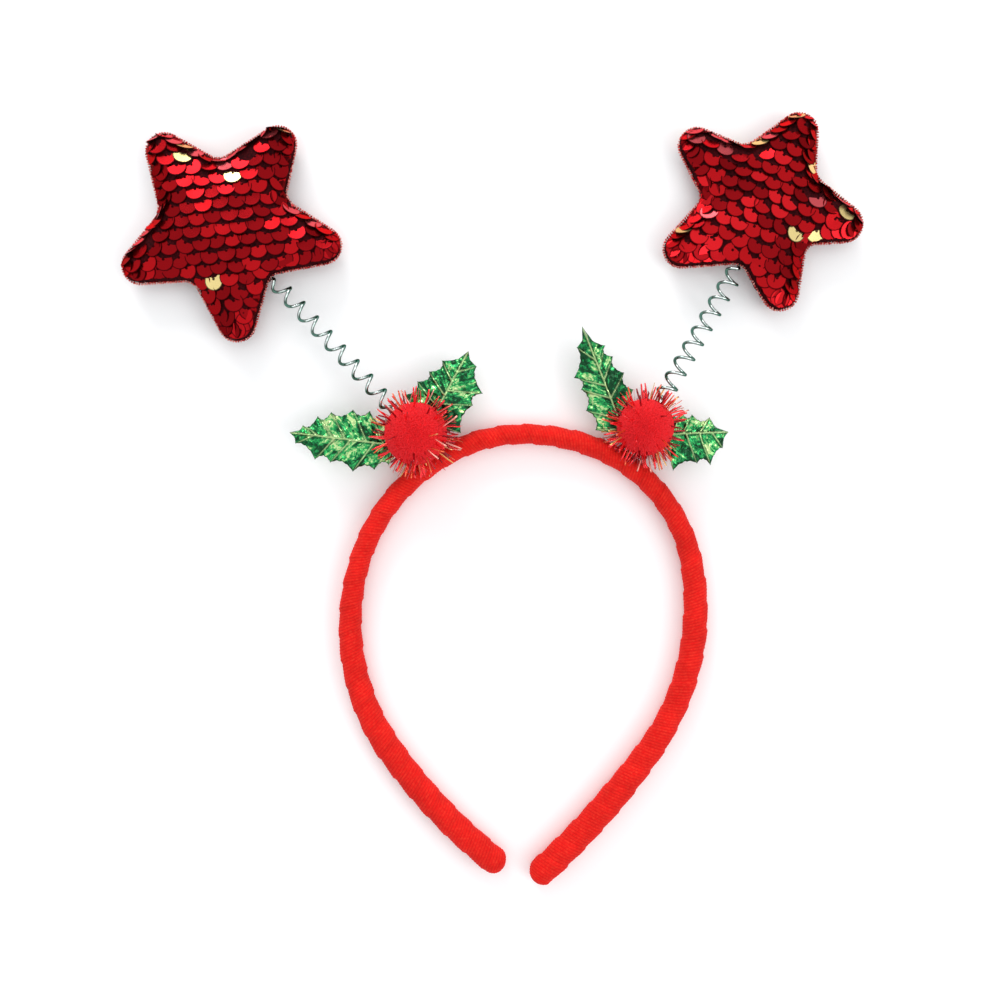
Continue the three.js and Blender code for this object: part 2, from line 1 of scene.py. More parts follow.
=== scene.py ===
"""A Christmas headband on a table: a ribbon-wound hoop, two sequin stars on springs, pompoms and leaves.

Lengths are in metres in the scene. The shape tables are in millimetres, from the crown of the hoop.
"""
import math

import bmesh
import bpy
import numpy as np
from mathutils import Matrix, Vector, geometry, noise


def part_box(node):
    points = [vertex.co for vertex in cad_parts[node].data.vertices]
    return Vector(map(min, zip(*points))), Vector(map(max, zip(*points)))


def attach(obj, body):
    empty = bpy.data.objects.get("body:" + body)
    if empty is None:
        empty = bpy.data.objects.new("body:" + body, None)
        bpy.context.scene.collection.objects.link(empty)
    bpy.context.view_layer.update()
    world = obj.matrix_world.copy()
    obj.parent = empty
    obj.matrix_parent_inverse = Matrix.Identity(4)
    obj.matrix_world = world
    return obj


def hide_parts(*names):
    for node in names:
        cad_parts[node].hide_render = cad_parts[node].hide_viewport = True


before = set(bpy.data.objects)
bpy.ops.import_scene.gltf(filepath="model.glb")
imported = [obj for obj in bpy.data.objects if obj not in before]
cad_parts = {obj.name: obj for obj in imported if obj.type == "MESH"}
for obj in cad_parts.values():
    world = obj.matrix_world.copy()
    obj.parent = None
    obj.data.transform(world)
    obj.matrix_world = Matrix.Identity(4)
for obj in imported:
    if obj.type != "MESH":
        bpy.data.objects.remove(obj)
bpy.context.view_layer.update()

bl_info = {
    "name": "Christmas Headband",
    "version": (1, 0, 0),
    "blender": (4, 5, 0),
    "location": "View3D > Sidebar > Headband",
    "description": "Builds a ribbon-wound headband with sequin stars on springs",
    "category": "Object",
}

MM = 0.001
SIDES = ("left", "right")

# The middle line of the hoop, arc by arc from the crown to each tip.
HOOP_HALF_WIDTH = 66.3
HOOP_ARCS = {
    "left": ((0.891, 21.4), (1.05, 51.4), (1.253, 52.7), (3.18, 16.9)),
    "right": ((1.124, 24.0), (0.884, 55.5), (1.409, 46.5), (4.65, 12.3)),
}
BAND_WIDTH = 9.8
BAND_DEPTH = 10.0
BAND_PRESSED = 0.35
TIP_ROUND = 5.0
# Width of the winding from the left tip at 0 to the right tip at 1, as a share of the widest.
WINDING_ALONG = (0, 0.14, 0.23, 0.31, 0.42, 0.49, 0.57, 0.66, 0.74, 0.82, 0.9, 1)
WINDING_WIDTH = (0.98, 0.96, 0.84, 0.74, 0.76, 0.7, 0.77, 0.74, 0.88, 0.87, 1, 1)

# Stars: each point's way and reach, then the notch after it. sewn is the row whose notch takes the
# spring, row_turn is how far the rows of sequins are turned, and the fourth entry is painted light that makes
# all of a star's sequins brighter.
STARS = {
    "left": {
        "reach": 45.2,
        "sewn": 3,
        "row_turn": 7.0,
        "painted_shine": 0.0,
        "outline": (
            (59, 0.99, 96, 0.585),
            (129, 1.0, 165, 0.59),
            (203, 0.955, 236, 0.53),
            (276, 0.96, 312, 0.535),
            (350, 0.98, 386, 0.555),
        ),
    },
    "right": {
        "reach": 41.2,
        "sewn": 2,
        "row_turn": -22.0,
        "painted_shine": 0.14,
        "outline": (
            (63, 0.965, 102, 0.585),
            (136, 0.99, 170, 0.545),
            (208, 1.0, 250, 0.55),
            (283, 0.98, 319, 0.555),
            (349, 0.965, 388, 0.59),
        ),
    },
}
STAR_TIP_ROUND = 7.1
STAR_SEAM_HEIGHT = 7.65

# Pompoms: core radius, place of the foot along its side, and how far out and up the middle lies.
POMPOMS = {
    "left": (11.4, 0.162, 0.73, 0.44),
    "right": (10.4, 0.172, 1.06, 0.24),
}

# Springs: way from the pompom to the star, length in plan and coil diameter.
SPRINGS = {"left": (132.9, 82.2, 6.8), "right": (59.7, 72.4, 7.45)}
COIL_HEIGHT = 13.1
STAR_TAIL = 5.0

# Leaves: stem from the pompom's middle in core radii, turn, length, then each edge's spines.
LEAVES = {
    "left_leaf_outer": (
        (-0.73, -0.37),
        173,
        39.8,
        ((0.03, 0.32), (0.16, 0.42), (0.36, 0.49), (0.58, 0.39), (0.73, 0.375), (0.93, 0.16)),
        ((0.1, 0.33), (0.27, 0.49), (0.43, 0.48), (0.63, 0.4), (0.75, 0.31), (0.88, 0.14)),
    ),
    "left_leaf_inner": (
        (0.43, 0.31),
        62,
        31.4,
        ((0.177, 0.57), (0.39, 0.49), (0.56, 0.4), (0.75, 0.3)),
        ((0.09, 0.5), (0.45, 0.46), (0.63, 0.51), (0.88, 0.23)),
    ),
    "right_leaf_inner": (
        (-0.79, -0.14),
        111.5,
        42.5,
        ((0.1, 0.4), (0.29, 0.43), (0.48, 0.38), (0.6, 0.415), (0.84, 0.2)),
        ((0.1, 0.33), (0.31, 0.385), (0.48, 0.35), (0.65, 0.28), (0.765, 0.23)),
    ),
    "right_leaf_outer": (
        (0.71, -0.25),
        2,
        24,
        ((0.1, 0.34), (0.28, 0.355), (0.44, 0.3), (0.71, 0.245)),
        ((0.11, 0.575), (0.49, 0.475), (0.7, 0.51), (0.9, 0.25)),
    ),
}
LEAF_WIDTH = 24.0
LEAF_STEM_WIDTH = 4.0


# Sizes and colours


def length(name, description, default):
    """A length property, given in millimetres."""
    return bpy.props.FloatProperty(
        name=name,
        description=description,
        default=default * MM,
        min=0.0,
        precision=5,
        unit="LENGTH",
        subtype="DISTANCE",
    )


def count(name, description, default):
    """A whole-number property."""
    return bpy.props.IntProperty(name=name, description=description, default=default, min=1)


def share(name, description, default):
    """A property from 0 to 1."""
    return bpy.props.FloatProperty(
        name=name, description=description, default=default, min=0.0, max=1.0, subtype="FACTOR"
    )


def angle(name, description, default):
    """An angle property, given in degrees."""
    return bpy.props.FloatProperty(
        name=name,
        description=description,
        default=math.radians(default),
        unit="ROTATION",
        subtype="ANGLE",
    )


def colour(name, description, code):
    """A colour property, given as an sRGB hex value."""
    return bpy.props.FloatVectorProperty(
        name=name,
        description=description,
        default=linear(code)[:3],
        size=3,
        min=0.0,
        max=1.0,
        subtype="COLOR",
    )


def linear(code):
    """An sRGB hex value as linear colour with full alpha."""
    parts = [int(code[place : place + 2], 16) / 255 for place in (0, 2, 4)]
    made = [part / 12.92 if part <= 0.04045 else ((part + 0.055) / 1.055) ** 2.4 for part in parts]
    return (*made, 1.0)


class HeadbandBandSizes(bpy.types.PropertyGroup):
    """Sizes and colours of the wound hoop."""

    width: length("Width", "Widest winding in the plane of the hoop", BAND_WIDTH)
    depth: length("Depth", "Winding square to the plane of the hoop", BAND_DEPTH)
    wrap_pitch: length("Wrap Pitch", "Along the hoop from one turn of ribbon to the next", 9.5)
    wrap_step: length("Wrap Step", "How far the edge of a turn stands over the last", 0.45)
    ribs: count("Ribs", "Knitted ribs across the part of the ribbon that shows", 8)
    rib_height: length("Rib Height", "Height of a knitted rib", 0.17)
    unevenness: length("Unevenness", "How far the winding swells and dips", 0.28)
    colour: colour("Colour", "Red of the knitted ribbon", "E11A16")
    # Light is a painted highlight on the crests of the ribs, and Dark is painted shade between them.
    light: colour("Light", "Red on the crests of the ribs", "EE3F2C")
    dark: colour("Dark", "Red between the ribs", "C01414")


class HeadbandSpringSizes(bpy.types.PropertyGroup):
    """Sizes and colours of the springs."""

    wire: length("Wire", "Diameter of the wire", 1.15)
    turns: count("Turns", "Turns in each coil", 9)
    # Colour is the steel, kept bright on top as a painted highlight, and Edge is the dark green painted
    # reflection on its flanks.
    colour: colour("Colour", "Colour of the steel", "E6EFEC")
    edge: colour("Edge", "Dark green of the plating on its flanks", "0C6450")


class HeadbandStarSizes(bpy.types.PropertyGroup):
    """Sizes and colours of the stars."""

    sequin: length("Sequin", "Diameter of a sequin", 7.4)
    hole: length("Hole", "Diameter of the hole in a sequin", 1.2)
    in_row: length("In Row", "Distance between sequins of a row", 6)
    rows: length("Rows", "Distance between rows", 4.8)
    lean: angle("Lean", "How far a sequin leans over the row below", 10)
    stitch: length("Stitch", "Distance between stitches of the seam", 1.0)
    fill: share("Fill", "How full the stars are stuffed", 0.8)
    # Dark, Middle, Bright, Coral and Pale are painted light, from painted shade to painted glints.
    dark: colour("Dark", "Sequins turned from the light", "8C0D13")
    middle: colour("Middle", "Most of the lit sequins", "B2141A")
    bright: colour("Bright", "Sequins turned to the light", "D81F26")
    coral: colour("Coral", "Sequins with a pink glint", "E05C62")
    pale: colour("Pale", "Sequins with a full glint", "F6DE96")


class HeadbandPompomSizes(bpy.types.PropertyGroup):
    """Sizes and colours of the pompoms."""

    strand: length("Strand", "Thickness of a strand of the pile", 0.62)
    pile: length("Pile", "Length of the pile beyond the core", 0.8)
    strands: count("Strands", "Strands in each pompom", 11000)
    tinsel_width: length("Tinsel Width", "Width of a strip of tinsel", 0.62)
    tinsel_length: length("Tinsel Length", "Length of a strip of tinsel", 6.5)
    strips: count("Strips", "Strips of tinsel in each pompom", 240)
    colour: colour("Colour", "Red of the pile", "FF2A32")
    # Dark is painted shade at the roots of the pile. Shade and Glint are painted shade and painted glints of
    # the tinsel.
    dark: colour("Dark", "Red deep in the pile", "FA242C")
    shade: colour("Shade", "Tinsel turned from the light", "9C0C1C")
    glint: colour("Glint", "Gold of the tinsel that catches the light", "FFC070")


class HeadbandLeafSizes(bpy.types.PropertyGroup):
    """Sizes and colours of the leaves."""

    thickness: length("Thickness", "Thickness of the glittered leaf", 0.7)
    midrib: length("Midrib", "How far the leaf is folded up along its midrib", 1.6)
    vein: length("Vein", "Height of the pressed veins", 0.6)
    crumple: length("Crumple", "How far the foil is crumpled", 0.8)
    colour: colour("Colour", "Green of the foil", "128044")
    # Dark and Pale are painted shade and painted glints of the crumpled foil, and the painted shadow and
    # highlight of its veins.
    dark: colour("Dark", "Green of the foil turned from the light", "03401F")
    pale: colour("Pale", "Green of the foil turned to the light", "CDE9A0")


class HeadbandStageSizes(bpy.types.PropertyGroup):
    """Sizes and colours of the stage."""

    camera_height: length("Camera Height", "Height of the camera over the table", 457.5)
    lens: bpy.props.FloatProperty(
        name="Lens", description="Focal length in millimetres", default=42.63, subtype="DISTANCE_CAMERA"
    )
    colour: colour("Colour", "Colour of the floor", "FFFFFF")
    walls: share("Walls", "Brightness of the light from the sides", 0.44)
    overhead: bpy.props.FloatProperty(
        name="Overhead", description="Brightness of the light from above", default=1.15, min=0, unit="NONE"
    )


# Meshes and trees


def add(tree, kind, settings=(), inputs=()):
    """Adds a node. An input, by name or place, takes a value or another node's output."""
    made = tree.nodes.new(kind)
    for name, value in dict(settings).items():
        setattr(made, name, value)
    for key, value in dict(inputs).items():
        if isinstance(value, bpy.types.NodeSocket):
            tree.links.new(value, made.inputs[key])
        else:
            made.inputs[key].default_value = value
    return made


def maths(tree, operation, *terms):
    """A number worked out from numbers or from other nodes' outputs."""
    return add(tree, "ShaderNodeMath", {"operation": operation}, dict(enumerate(terms))).outputs[0]


def vectors(tree, operation, *terms):
    """A vector worked out from vectors."""
    return add(tree, "ShaderNodeVectorMath", {"operation": operation}, dict(enumerate(terms))).outputs[0]


def logic(tree, operation, *terms):
    """True or false, worked out from others."""
    return add(tree, "FunctionNodeBooleanMath", {"operation": operation}, dict(enumerate(terms))).outputs[0]


def scaled(tree, vector, factor):
    """A vector made longer or shorter."""
    made = add(tree, "ShaderNodeVectorMath", {"operation": "SCALE"}, {0: vector, "Scale": factor})
    return made.outputs[0]


def turned_flat(tree, vector, turn):
    """A vector turned in the table's plane."""
    made = add(tree, "ShaderNodeVectorRotate", {"rotation_type": "Z_AXIS"}, {"Vector": vector, "Angle": turn})
    return made.outputs[0]


def parted(tree, vector):
    """The X, Y and Z of a vector."""
    return add(tree, "ShaderNodeSeparateXYZ", inputs={0: vector}).outputs


def combined(tree, **parts):
    """A vector from its X, Y and Z."""
    return add(tree, "ShaderNodeCombineXYZ", inputs=parts).outputs[0]


def mapped(tree, value, low=0.0, high=1.0, start=0.0, end=1.0):
    """A value between low and high, as one between start and end."""
    ends = {"From Min": low, "From Max": high, "To Min": start, "To Max": end}
    return add(tree, "ShaderNodeMapRange", inputs={"Value": value, **ends}).outputs[0]


def texture(tree, kind, size, **rest):
    """The outputs of a texture whose features are about so many millimetres across."""
    return add(tree, "ShaderNodeTex" + kind, inputs={"Scale": 1 / (size * MM), **rest}).outputs


def chance(tree, seed, kind="FLOAT", **ends):
    """A random value for each point."""
    made = add(tree, "FunctionNodeRandomValue", {"data_type": kind}, {**ends, "Seed": seed})
    return made.outputs["Value"]


def stored(tree, shape, name, value, kind="FLOAT"):
    """A shape with a value kept on each of its points."""
    settings = {"data_type": kind, "domain": "POINT"}
    inputs = {"Name": name, "Geometry": shape, "Value": value}
    return add(tree, "GeometryNodeStoreNamedAttribute", settings, inputs).outputs[0]


def named(tree, name, kind="FLOAT"):
    """A value that was kept on the points."""
    made = add(tree, "GeometryNodeInputNamedAttribute", {"data_type": kind}, {"Name": name})
    return made.outputs[0]


def moved(tree, shape, **how):
    """A shape with its points moved."""
    return add(tree, "GeometryNodeSetPosition", inputs={"Geometry": shape, **how}).outputs[0]


def cast(tree, shape, source, way, reach=0.2):
    """Where rays from the points meet a shape."""
    inputs = {"Target Geometry": shape, "Source Position": source, "Ray Direction": way, "Ray Length": reach}
    return add(tree, "GeometryNodeRaycast", inputs=inputs).outputs


def object_shape(tree, thing):
    """The mesh of another object."""
    return add(tree, "GeometryNodeObjectInfo", inputs={"Object": thing}).outputs["Geometry"]


def joined(tree, first, second):
    """Two shapes as one."""
    both = add(tree, "GeometryNodeJoinGeometry", inputs={0: first})
    tree.links.new(second, both.inputs[0])
    return both.outputs[0]


def above_table(tree, shape):
    """Presses whatever would sink into the table flat on it."""
    place = parted(tree, add(tree, "GeometryNodeInputPosition").outputs[0])
    height = maths(tree, "MAXIMUM", place["Z"], 0.0)
    return moved(tree, shape, Position=combined(tree, X=place["X"], Y=place["Y"], Z=height))


def new_tree(name, inputs):
    """A Geometry Nodes tree with a geometry in and out and a named input for each size."""
    tree = bpy.data.node_groups.new(name, "GeometryNodeTree")
    for label, kind in {"Geometry": "Geometry", **inputs, "Material": "Material"}.items():
        tree.interface.new_socket(name=label, in_out="INPUT", socket_type="NodeSocket" + kind)
    tree.interface.new_socket(name="Geometry", in_out="OUTPUT", socket_type="NodeSocketGeometry")
    return tree, add(tree, "NodeGroupInput").outputs


def finish_tree(tree, shape, material, smooth=True):
    """Ends a tree with its instances made real, its faces shaded and its material set."""
    real = add(tree, "GeometryNodeRealizeInstances", inputs={0: shape})
    shaded = add(tree, "GeometryNodeSetShadeSmooth", inputs={0: real.outputs[0], "Shade Smooth": smooth})
    painted = add(tree, "GeometryNodeSetMaterial", inputs={0: shaded.outputs[0], "Material": material})
    add(tree, "NodeGroupOutput", inputs={0: painted.outputs[0]})


def bake(piece):
    """Makes a piece's modifiers part of its mesh."""
    depsgraph = bpy.context.evaluated_depsgraph_get()
    made = bpy.data.meshes.new_from_object(
        piece.evaluated_get(depsgraph), preserve_all_data_layers=True, depsgraph=depsgraph
    )
    piece.modifiers.clear()
    piece.data = made
    made.name = piece.name


def run_tree(piece, tree, sizes):
    """Runs a tree on a piece and keeps the result as the piece's plain mesh."""
    modifier = piece.modifiers.new(tree.name, "NODES")
    modifier.node_group = tree
    for item in tree.interface.items_tree:
        if item.in_out == "INPUT" and item.name in sizes:
            modifier[item.identifier] = sizes[item.name]
    bake(piece)


def show(name, data):
    """An object in the scene that holds the data."""
    shown = bpy.data.objects.new(name, data)
    bpy.context.collection.objects.link(shown)
    return shown


def new_piece(name, points, faces=(), edges=(), material=None):
    """A mesh object in the scene, from points in metres with faces or edges between them."""
    made = bpy.data.meshes.new(name)
    made.from_pydata([tuple(point) for point in points], edges, [tuple(face) for face in faces])
    made.validate()
    if material is not None:
        made.materials.append(material)
    return show(name, made)


def shade_smooth(piece):
    """Smooth shading on every face of a piece."""
    piece.data.polygons.foreach_set("use_smooth", [True] * len(piece.data.polygons))


def store(piece, **numbers):
    """Stores a number of each name for each point of a piece."""
    for name, values in numbers.items():
        held = piece.data.attributes.new(name, "FLOAT", "POINT")
        held.data.foreach_set("value", np.asarray(values, np.float32))


def declare(piece, node):
    """Hides the solid that a piece stands for and hangs the piece under the root."""
    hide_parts(node)
    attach(piece, "root")


def drop(piece):
    """Removes an object that was only needed while another was made."""
    bpy.data.objects.remove(piece, do_unlink=True)


# Places that the pieces share


def hoop_arcs(side):
    """The arcs of one side, each with its start, heading and distance from the crown."""
    arcs = []
    x, y, heading, distance = 0.0, 0.0, 0.0, 0.0
    for radius_share, turn in HOOP_ARCS[side]:
        radius = radius_share * HOOP_HALF_WIDTH
        reach = radius * math.radians(turn)
        arcs.append((x, y, heading, distance, radius, reach))
        x, y, heading = arc_point(arcs[-1], reach)
        distance += reach
    return arcs


def arc_point(arc, along):
    """A point of an arc and its heading, in radians clockwise from +X."""
    x, y, heading, _, radius, _ = arc
    turned = heading + along / radius
    return (
        x + radius * (math.sin(turned) - math.sin(heading)),
        y - radius * (math.cos(heading) - math.cos(turned)),
        turned,
    )


ARCS = {side: hoop_arcs(side) for side in SIDES}
SIDE_LENGTH = {side: ARCS[side][-1][3] + ARCS[side][-1][5] for side in SIDES}
HOOP_LENGTH = SIDE_LENGTH["left"] + SIDE_LENGTH["right"]


def hoop_at(along):
    """The middle line and the way out from the hoop, in millimetres along from the left tip."""
    from_crown = along - SIDE_LENGTH["left"]
    side, sign = ("left", -1.0) if from_crown < 0 else ("right", 1.0)
    distance = abs(from_crown)
    arc = [one for one in ARCS[side] if one[3] <= distance][-1]
    x, y, heading = arc_point(arc, distance - arc[3])
    return Vector((sign * x, y)), Vector((sign * math.sin(heading), math.cos(heading)))


def winding_share(along):
    """Width of the winding as a share of the widest."""
    return float(np.interp(along / HOOP_LENGTH, WINDING_ALONG, WINDING_WIDTH))


def polar(degrees, distance):
    """A point in the table's plane by its way and distance."""
    turn = math.radians(degrees)
    return Vector((math.cos(turn) * distance, math.sin(turn) * distance))


def foot_along(side):
    """Where a spring's foot stands, along from the left tip."""
    distance = POMPOMS[side][1] * SIDE_LENGTH[side]
    return SIDE_LENGTH["left"] + (-distance if side == "left" else distance)


def pompom_middle(side):
    """The middle of a pompom, from the crown."""
    core, _, stand, lift = POMPOMS[side]
    along = foot_along(side)
    middle, out = hoop_at(along)
    place = middle + out * (BAND_WIDTH * winding_share(along) / 2 + stand * core)
    return Vector((place.x, place.y, BAND_DEPTH + lift * core))


def spring_ends(side):
    """The start of a coil's axis in the pompom and its end at the star's seam."""
    turn, reach, _ = SPRINGS[side]
    middle = pompom_middle(side)
    foot = Vector((middle.x, middle.y, COIL_HEIGHT))
    over = polar(turn, reach)
    return foot, Vector((foot.x + over.x, foot.y + over.y, STAR_SEAM_HEIGHT))


def star_middle(side):
    """The middle of a star, at the height of its seam."""
    star = STARS[side]
    _, _, notch, dip = star["outline"][star["sewn"]]
    over = polar(notch, dip * star["reach"])
    seam = spring_ends(side)[1]
    return Vector((seam.x - over.x, seam.y - over.y, STAR_SEAM_HEIGHT))


def leaf_stem(name):
    """The foot of a leaf's stem in the pompom, from the crown."""
    x, y = LEAVES[name][0]
    side = name.split("_")[0]
    middle = pompom_middle(side)
    core = POMPOMS[side][0]
    return Vector((middle.x + x * core, middle.y + y * core))


def leaf_tip(name):
    """The tip of a leaf, from the crown."""
    return leaf_stem(name) + polar(*LEAVES[name][1:3])


# The solids stand with their middle over the origin. Two leaf tips give the step from the crown.
CROWN = Vector(
    (
        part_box("left_leaf_outer")[0].x / MM - leaf_tip("left_leaf_outer").x,
        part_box("right_leaf_inner")[1].y / MM - leaf_tip("right_leaf_inner").y,
        0.0,
    )
)


def placed(point):
    """A point from the crown in millimetres, as a place in the scene in metres."""
    return (Vector(point).to_3d() + CROWN) * MM


# Materials


def new_material(name):
    """An empty node material, and its tree."""
    made = bpy.data.materials.new(name)
    made.use_nodes = True
    made.node_tree.nodes.clear()
    return made, made.node_tree


def finish_material(tree, inputs):
    """Ends a material's tree with its surface."""
    surface = add(tree, "ShaderNodeBsdfPrincipled", inputs=inputs)
    add(tree, "ShaderNodeOutputMaterial", inputs={"Surface": surface.outputs[0]})


def opaque(colour):
    """A colour with full alpha."""
    return (*colour[:3], 1.0)


def kept_value(tree, name):
    """A value that the piece keeps on its points."""
    return add(tree, "ShaderNodeAttribute", {"attribute_name": name}).outputs["Fac"]


def mixed(tree, factor, first, second):
    """One colour, with a share of another."""
    inputs = {"Factor": factor, "A": first, "B": second}
    return add(tree, "ShaderNodeMix", {"data_type": "RGBA"}, inputs).outputs["Result"]


def lit_by(tree, colour, value):
    """A colour made lighter or darker."""
    return add(tree, "ShaderNodeHueSaturation", inputs={"Color": colour, "Value": value}).outputs["Color"]


def banded(tree, value, steps, interpolation):
    """A colour for each stretch of a value, from where each colour starts."""
    ramp = add(tree, "ShaderNodeValToRGB", inputs={"Fac": value})
    ramp.color_ramp.interpolation = interpolation
    while len(ramp.color_ramp.elements) < len(steps):
        ramp.color_ramp.elements.new(1.0)
    for element, (place, colour) in zip(ramp.color_ramp.elements, steps):
        element.position = place
        element.color = opaque(colour)
    return ramp.outputs["Color"]


def bumped(tree, height, strength, distance, **rest):
    """A normal bent by a height of so many millimetres."""
    inputs = {"Height": height, "Strength": strength, "Distance": distance * MM, **rest}
    return add(tree, "ShaderNodeBump", inputs=inputs).outputs["Normal"]


def knitted_ribbon(sizes):
    """Knitted polyester ribbon: matt red with a soft sheen, a painted highlight on the crests of its ribs,
    painted shade between them, and fine stitches.
    """
    material, tree = new_material("knitted_ribbon")
    coords = add(tree, "ShaderNodeTexCoord").outputs["Object"]
    rib = kept_value(tree, "rib")
    blotch = texture(tree, "Noise", 7, Vector=coords, Detail=3.0, Roughness=0.6)["Fac"]
    # Stitches are about 0.5 mm long. They are drawn at 0.9 mm so that they show.
    stitch = texture(tree, "Noise", 0.9, Vector=coords, Detail=2.0, Roughness=0.7)["Fac"]
    # Painted shade between the ribs, and a painted highlight on the crests of the ribs, broken up by the
    # stitches.
    deep = mixed(tree, mapped(tree, rib, 0.0, 0.45), opaque(sizes.dark), opaque(sizes.colour))
    painted_highlight_share = maths(tree, "MULTIPLY", rib, mapped(tree, stitch, 0.42, 0.72, 0.0, 0.75))
    painted_rib_light = mixed(tree, painted_highlight_share, deep, opaque(sizes.light))
    finish_material(
        tree,
        {
            "Base Color": lit_by(tree, painted_rib_light, mapped(tree, blotch, 0.3, 0.7, 0.86, 1.08)),
            "Roughness": 0.85,
            "Normal": bumped(tree, stitch, 0.5, 0.25),
            "Sheen Weight": 0.08,
            "Sheen Roughness": 0.5,
            "Sheen Tint": (1.0, 0.45, 0.4, 1.0),
            "Specular IOR Level": 0.1,
        },
    )
    return material


def drawn_steel_wire(sizes):
    """Bright drawn steel wire: smooth metal with narrow highlights, painted dark green on its flanks as a
    painted reflection.
    """
    material, tree = new_material("drawn_steel_wire")
    coords = add(tree, "ShaderNodeTexCoord").outputs["Object"]
    drawn = texture(tree, "Noise", 2.5, Vector=coords, Detail=2.0)["Fac"]
    # Painted reflection: where the wire turns away from up, its flanks are painted dark green, and its top
    # stays bright as a painted highlight; noise makes the border uneven.
    facing = parted(tree, add(tree, "ShaderNodeNewGeometry").outputs["Normal"])
    uneven = maths(tree, "MULTIPLY_ADD", drawn, 0.5, maths(tree, "ABSOLUTE", facing["Z"]))
    painted_flank_reflection = mapped(tree, uneven, 0.9, 1.22, 0.85, 0.0)
    finish_material(
        tree,
        {
            "Base Color": mixed(tree, painted_flank_reflection, opaque(sizes.colour), opaque(sizes.edge)),
            "Metallic": 1.0,
            "Roughness": mapped(tree, drawn, 0.3, 0.7, 0.08, 0.16),
            "Specular Tint": opaque(sizes.edge),
        },
    )
    return material


def metallised_sequin(sizes):
    """Metallised plastic sequins: mirror-like red discs, each painted one of five reds as painted shade or
    painted glint, with a near-black painted shadow round its edge.
    """
    material, tree = new_material("metallised_sequin")
    coords = add(tree, "ShaderNodeTexCoord").outputs["Object"]
    # Painted light: the glint value picks each sequin's red, from painted shade through the lit reds to a
    # full painted glint.
    steps = (
        (0.0, sizes.dark),
        (0.4, sizes.middle),
        (0.64, sizes.bright),
        (0.8, sizes.coral),
        (0.98, sizes.pale),
    )
    film = banded(tree, kept_value(tree, "glint"), steps, "CONSTANT")
    # Painted shadow: each sequin's outer edge, its underside and its knot are painted nearly black.
    painted_edge_shadow = mapped(tree, kept_value(tree, "rim"), 0.2, 0.75, 0.0, 0.93)
    haze = texture(tree, "Noise", 9, Vector=coords, Detail=0.0)["Fac"]
    finish_material(
        tree,
        {
            "Base Color": mixed(tree, painted_edge_shadow, film, linear("1E0206")),
            "Metallic": 0.92,
            "Roughness": mapped(tree, haze, 0.3, 0.7, 0.2, 0.3),
            "Specular Tint": (1.0, 0.3, 0.32, 1.0),
        },
    )
    return material


def knitted_backing():
    """Dark red knitted backing cloth: matt, and darkened to nearly black as painted shade where it shows
    between the sequins.
    """
    material, tree = new_material("knitted_backing")
    coords = add(tree, "ShaderNodeTexCoord").outputs["Object"]
    knit = texture(tree, "Voronoi", 0.9, Vector=coords)["Distance"]
    finish_material(
        tree,
        {
            "Base Color": mixed(tree, knit, linear("46040A"), linear("160104")),
            "Roughness": 0.9,
            "Normal": bumped(tree, knit, 0.6, 0.3),
            "Specular IOR Level": 0.1,
        },
    )
    return material


def glitter_thread(sizes):
    """Glitter thread of the seam: rough red stitches with pink and white sparks."""
    material, tree = new_material("glitter_thread")
    coords = add(tree, "ShaderNodeTexCoord").outputs["Object"]
    spark = texture(tree, "Voronoi", 0.55, Vector=coords)
    colours = add(tree, "ShaderNodeSeparateColor", inputs={"Color": spark["Color"]}).outputs
    shared = maths(tree, "ADD", colours["Red"], maths(tree, "MULTIPLY", kept_value(tree, "glint"), 0.4))
    steps = ((0.15, sizes.dark), (0.6, sizes.bright), (1.0, linear("F2A89C")))
    finish_material(
        tree,
        {
            "Base Color": banded(tree, shared, steps, "LINEAR"),
            "Metallic": 0.35,
            "Roughness": 0.38,
            "Normal": bumped(tree, spark["Distance"], 0.8, 0.4),
        },
    )
    return material


def cut_pile(sizes):
    """Cut polyester pile: dense, saturated red and matt, with painted shade at the roots of its strands."""
    material, tree = new_material("cut_pile")
    # Painted shade: each strand is painted darker towards its root, deep in the pile.
    deep = mixed(tree, kept_value(tree, "root"), opaque(sizes.dark), opaque(sizes.colour))
    finish_material(
        tree,
        {
            "Base Color": lit_by(tree, deep, mapped(tree, kept_value(tree, "glint"), start=0.94, end=1.04)),
            "Roughness": 0.75,
            "Sheen Weight": 0.5,
            "Sheen Tint": (1.0, 0.16, 0.18, 1.0),
            "Specular IOR Level": 0.2,
        },
    )
    return material


def tinsel_foil(sizes):
    """Metallised tinsel strip: thin shiny red film; strips are painted dark as painted shade, or orange, gold
    or pink as painted glints.
    """
    material, tree = new_material("tinsel_foil")
    # Painted light: each strip takes one colour by chance, from painted shade to painted glints.
    steps = (
        (0.0, sizes.shade),
        (0.34, sizes.colour),
        (0.8, linear("F4643C")),
        (0.9, sizes.glint),
        (0.95, linear("FFAC9C")),
    )
    film = banded(tree, kept_value(tree, "glint"), steps, "CONSTANT")
    finish_material(tree, {"Base Color": film, "Metallic": 0.7, "Roughness": 0.22, "Coat Weight": 0.4})
    return material


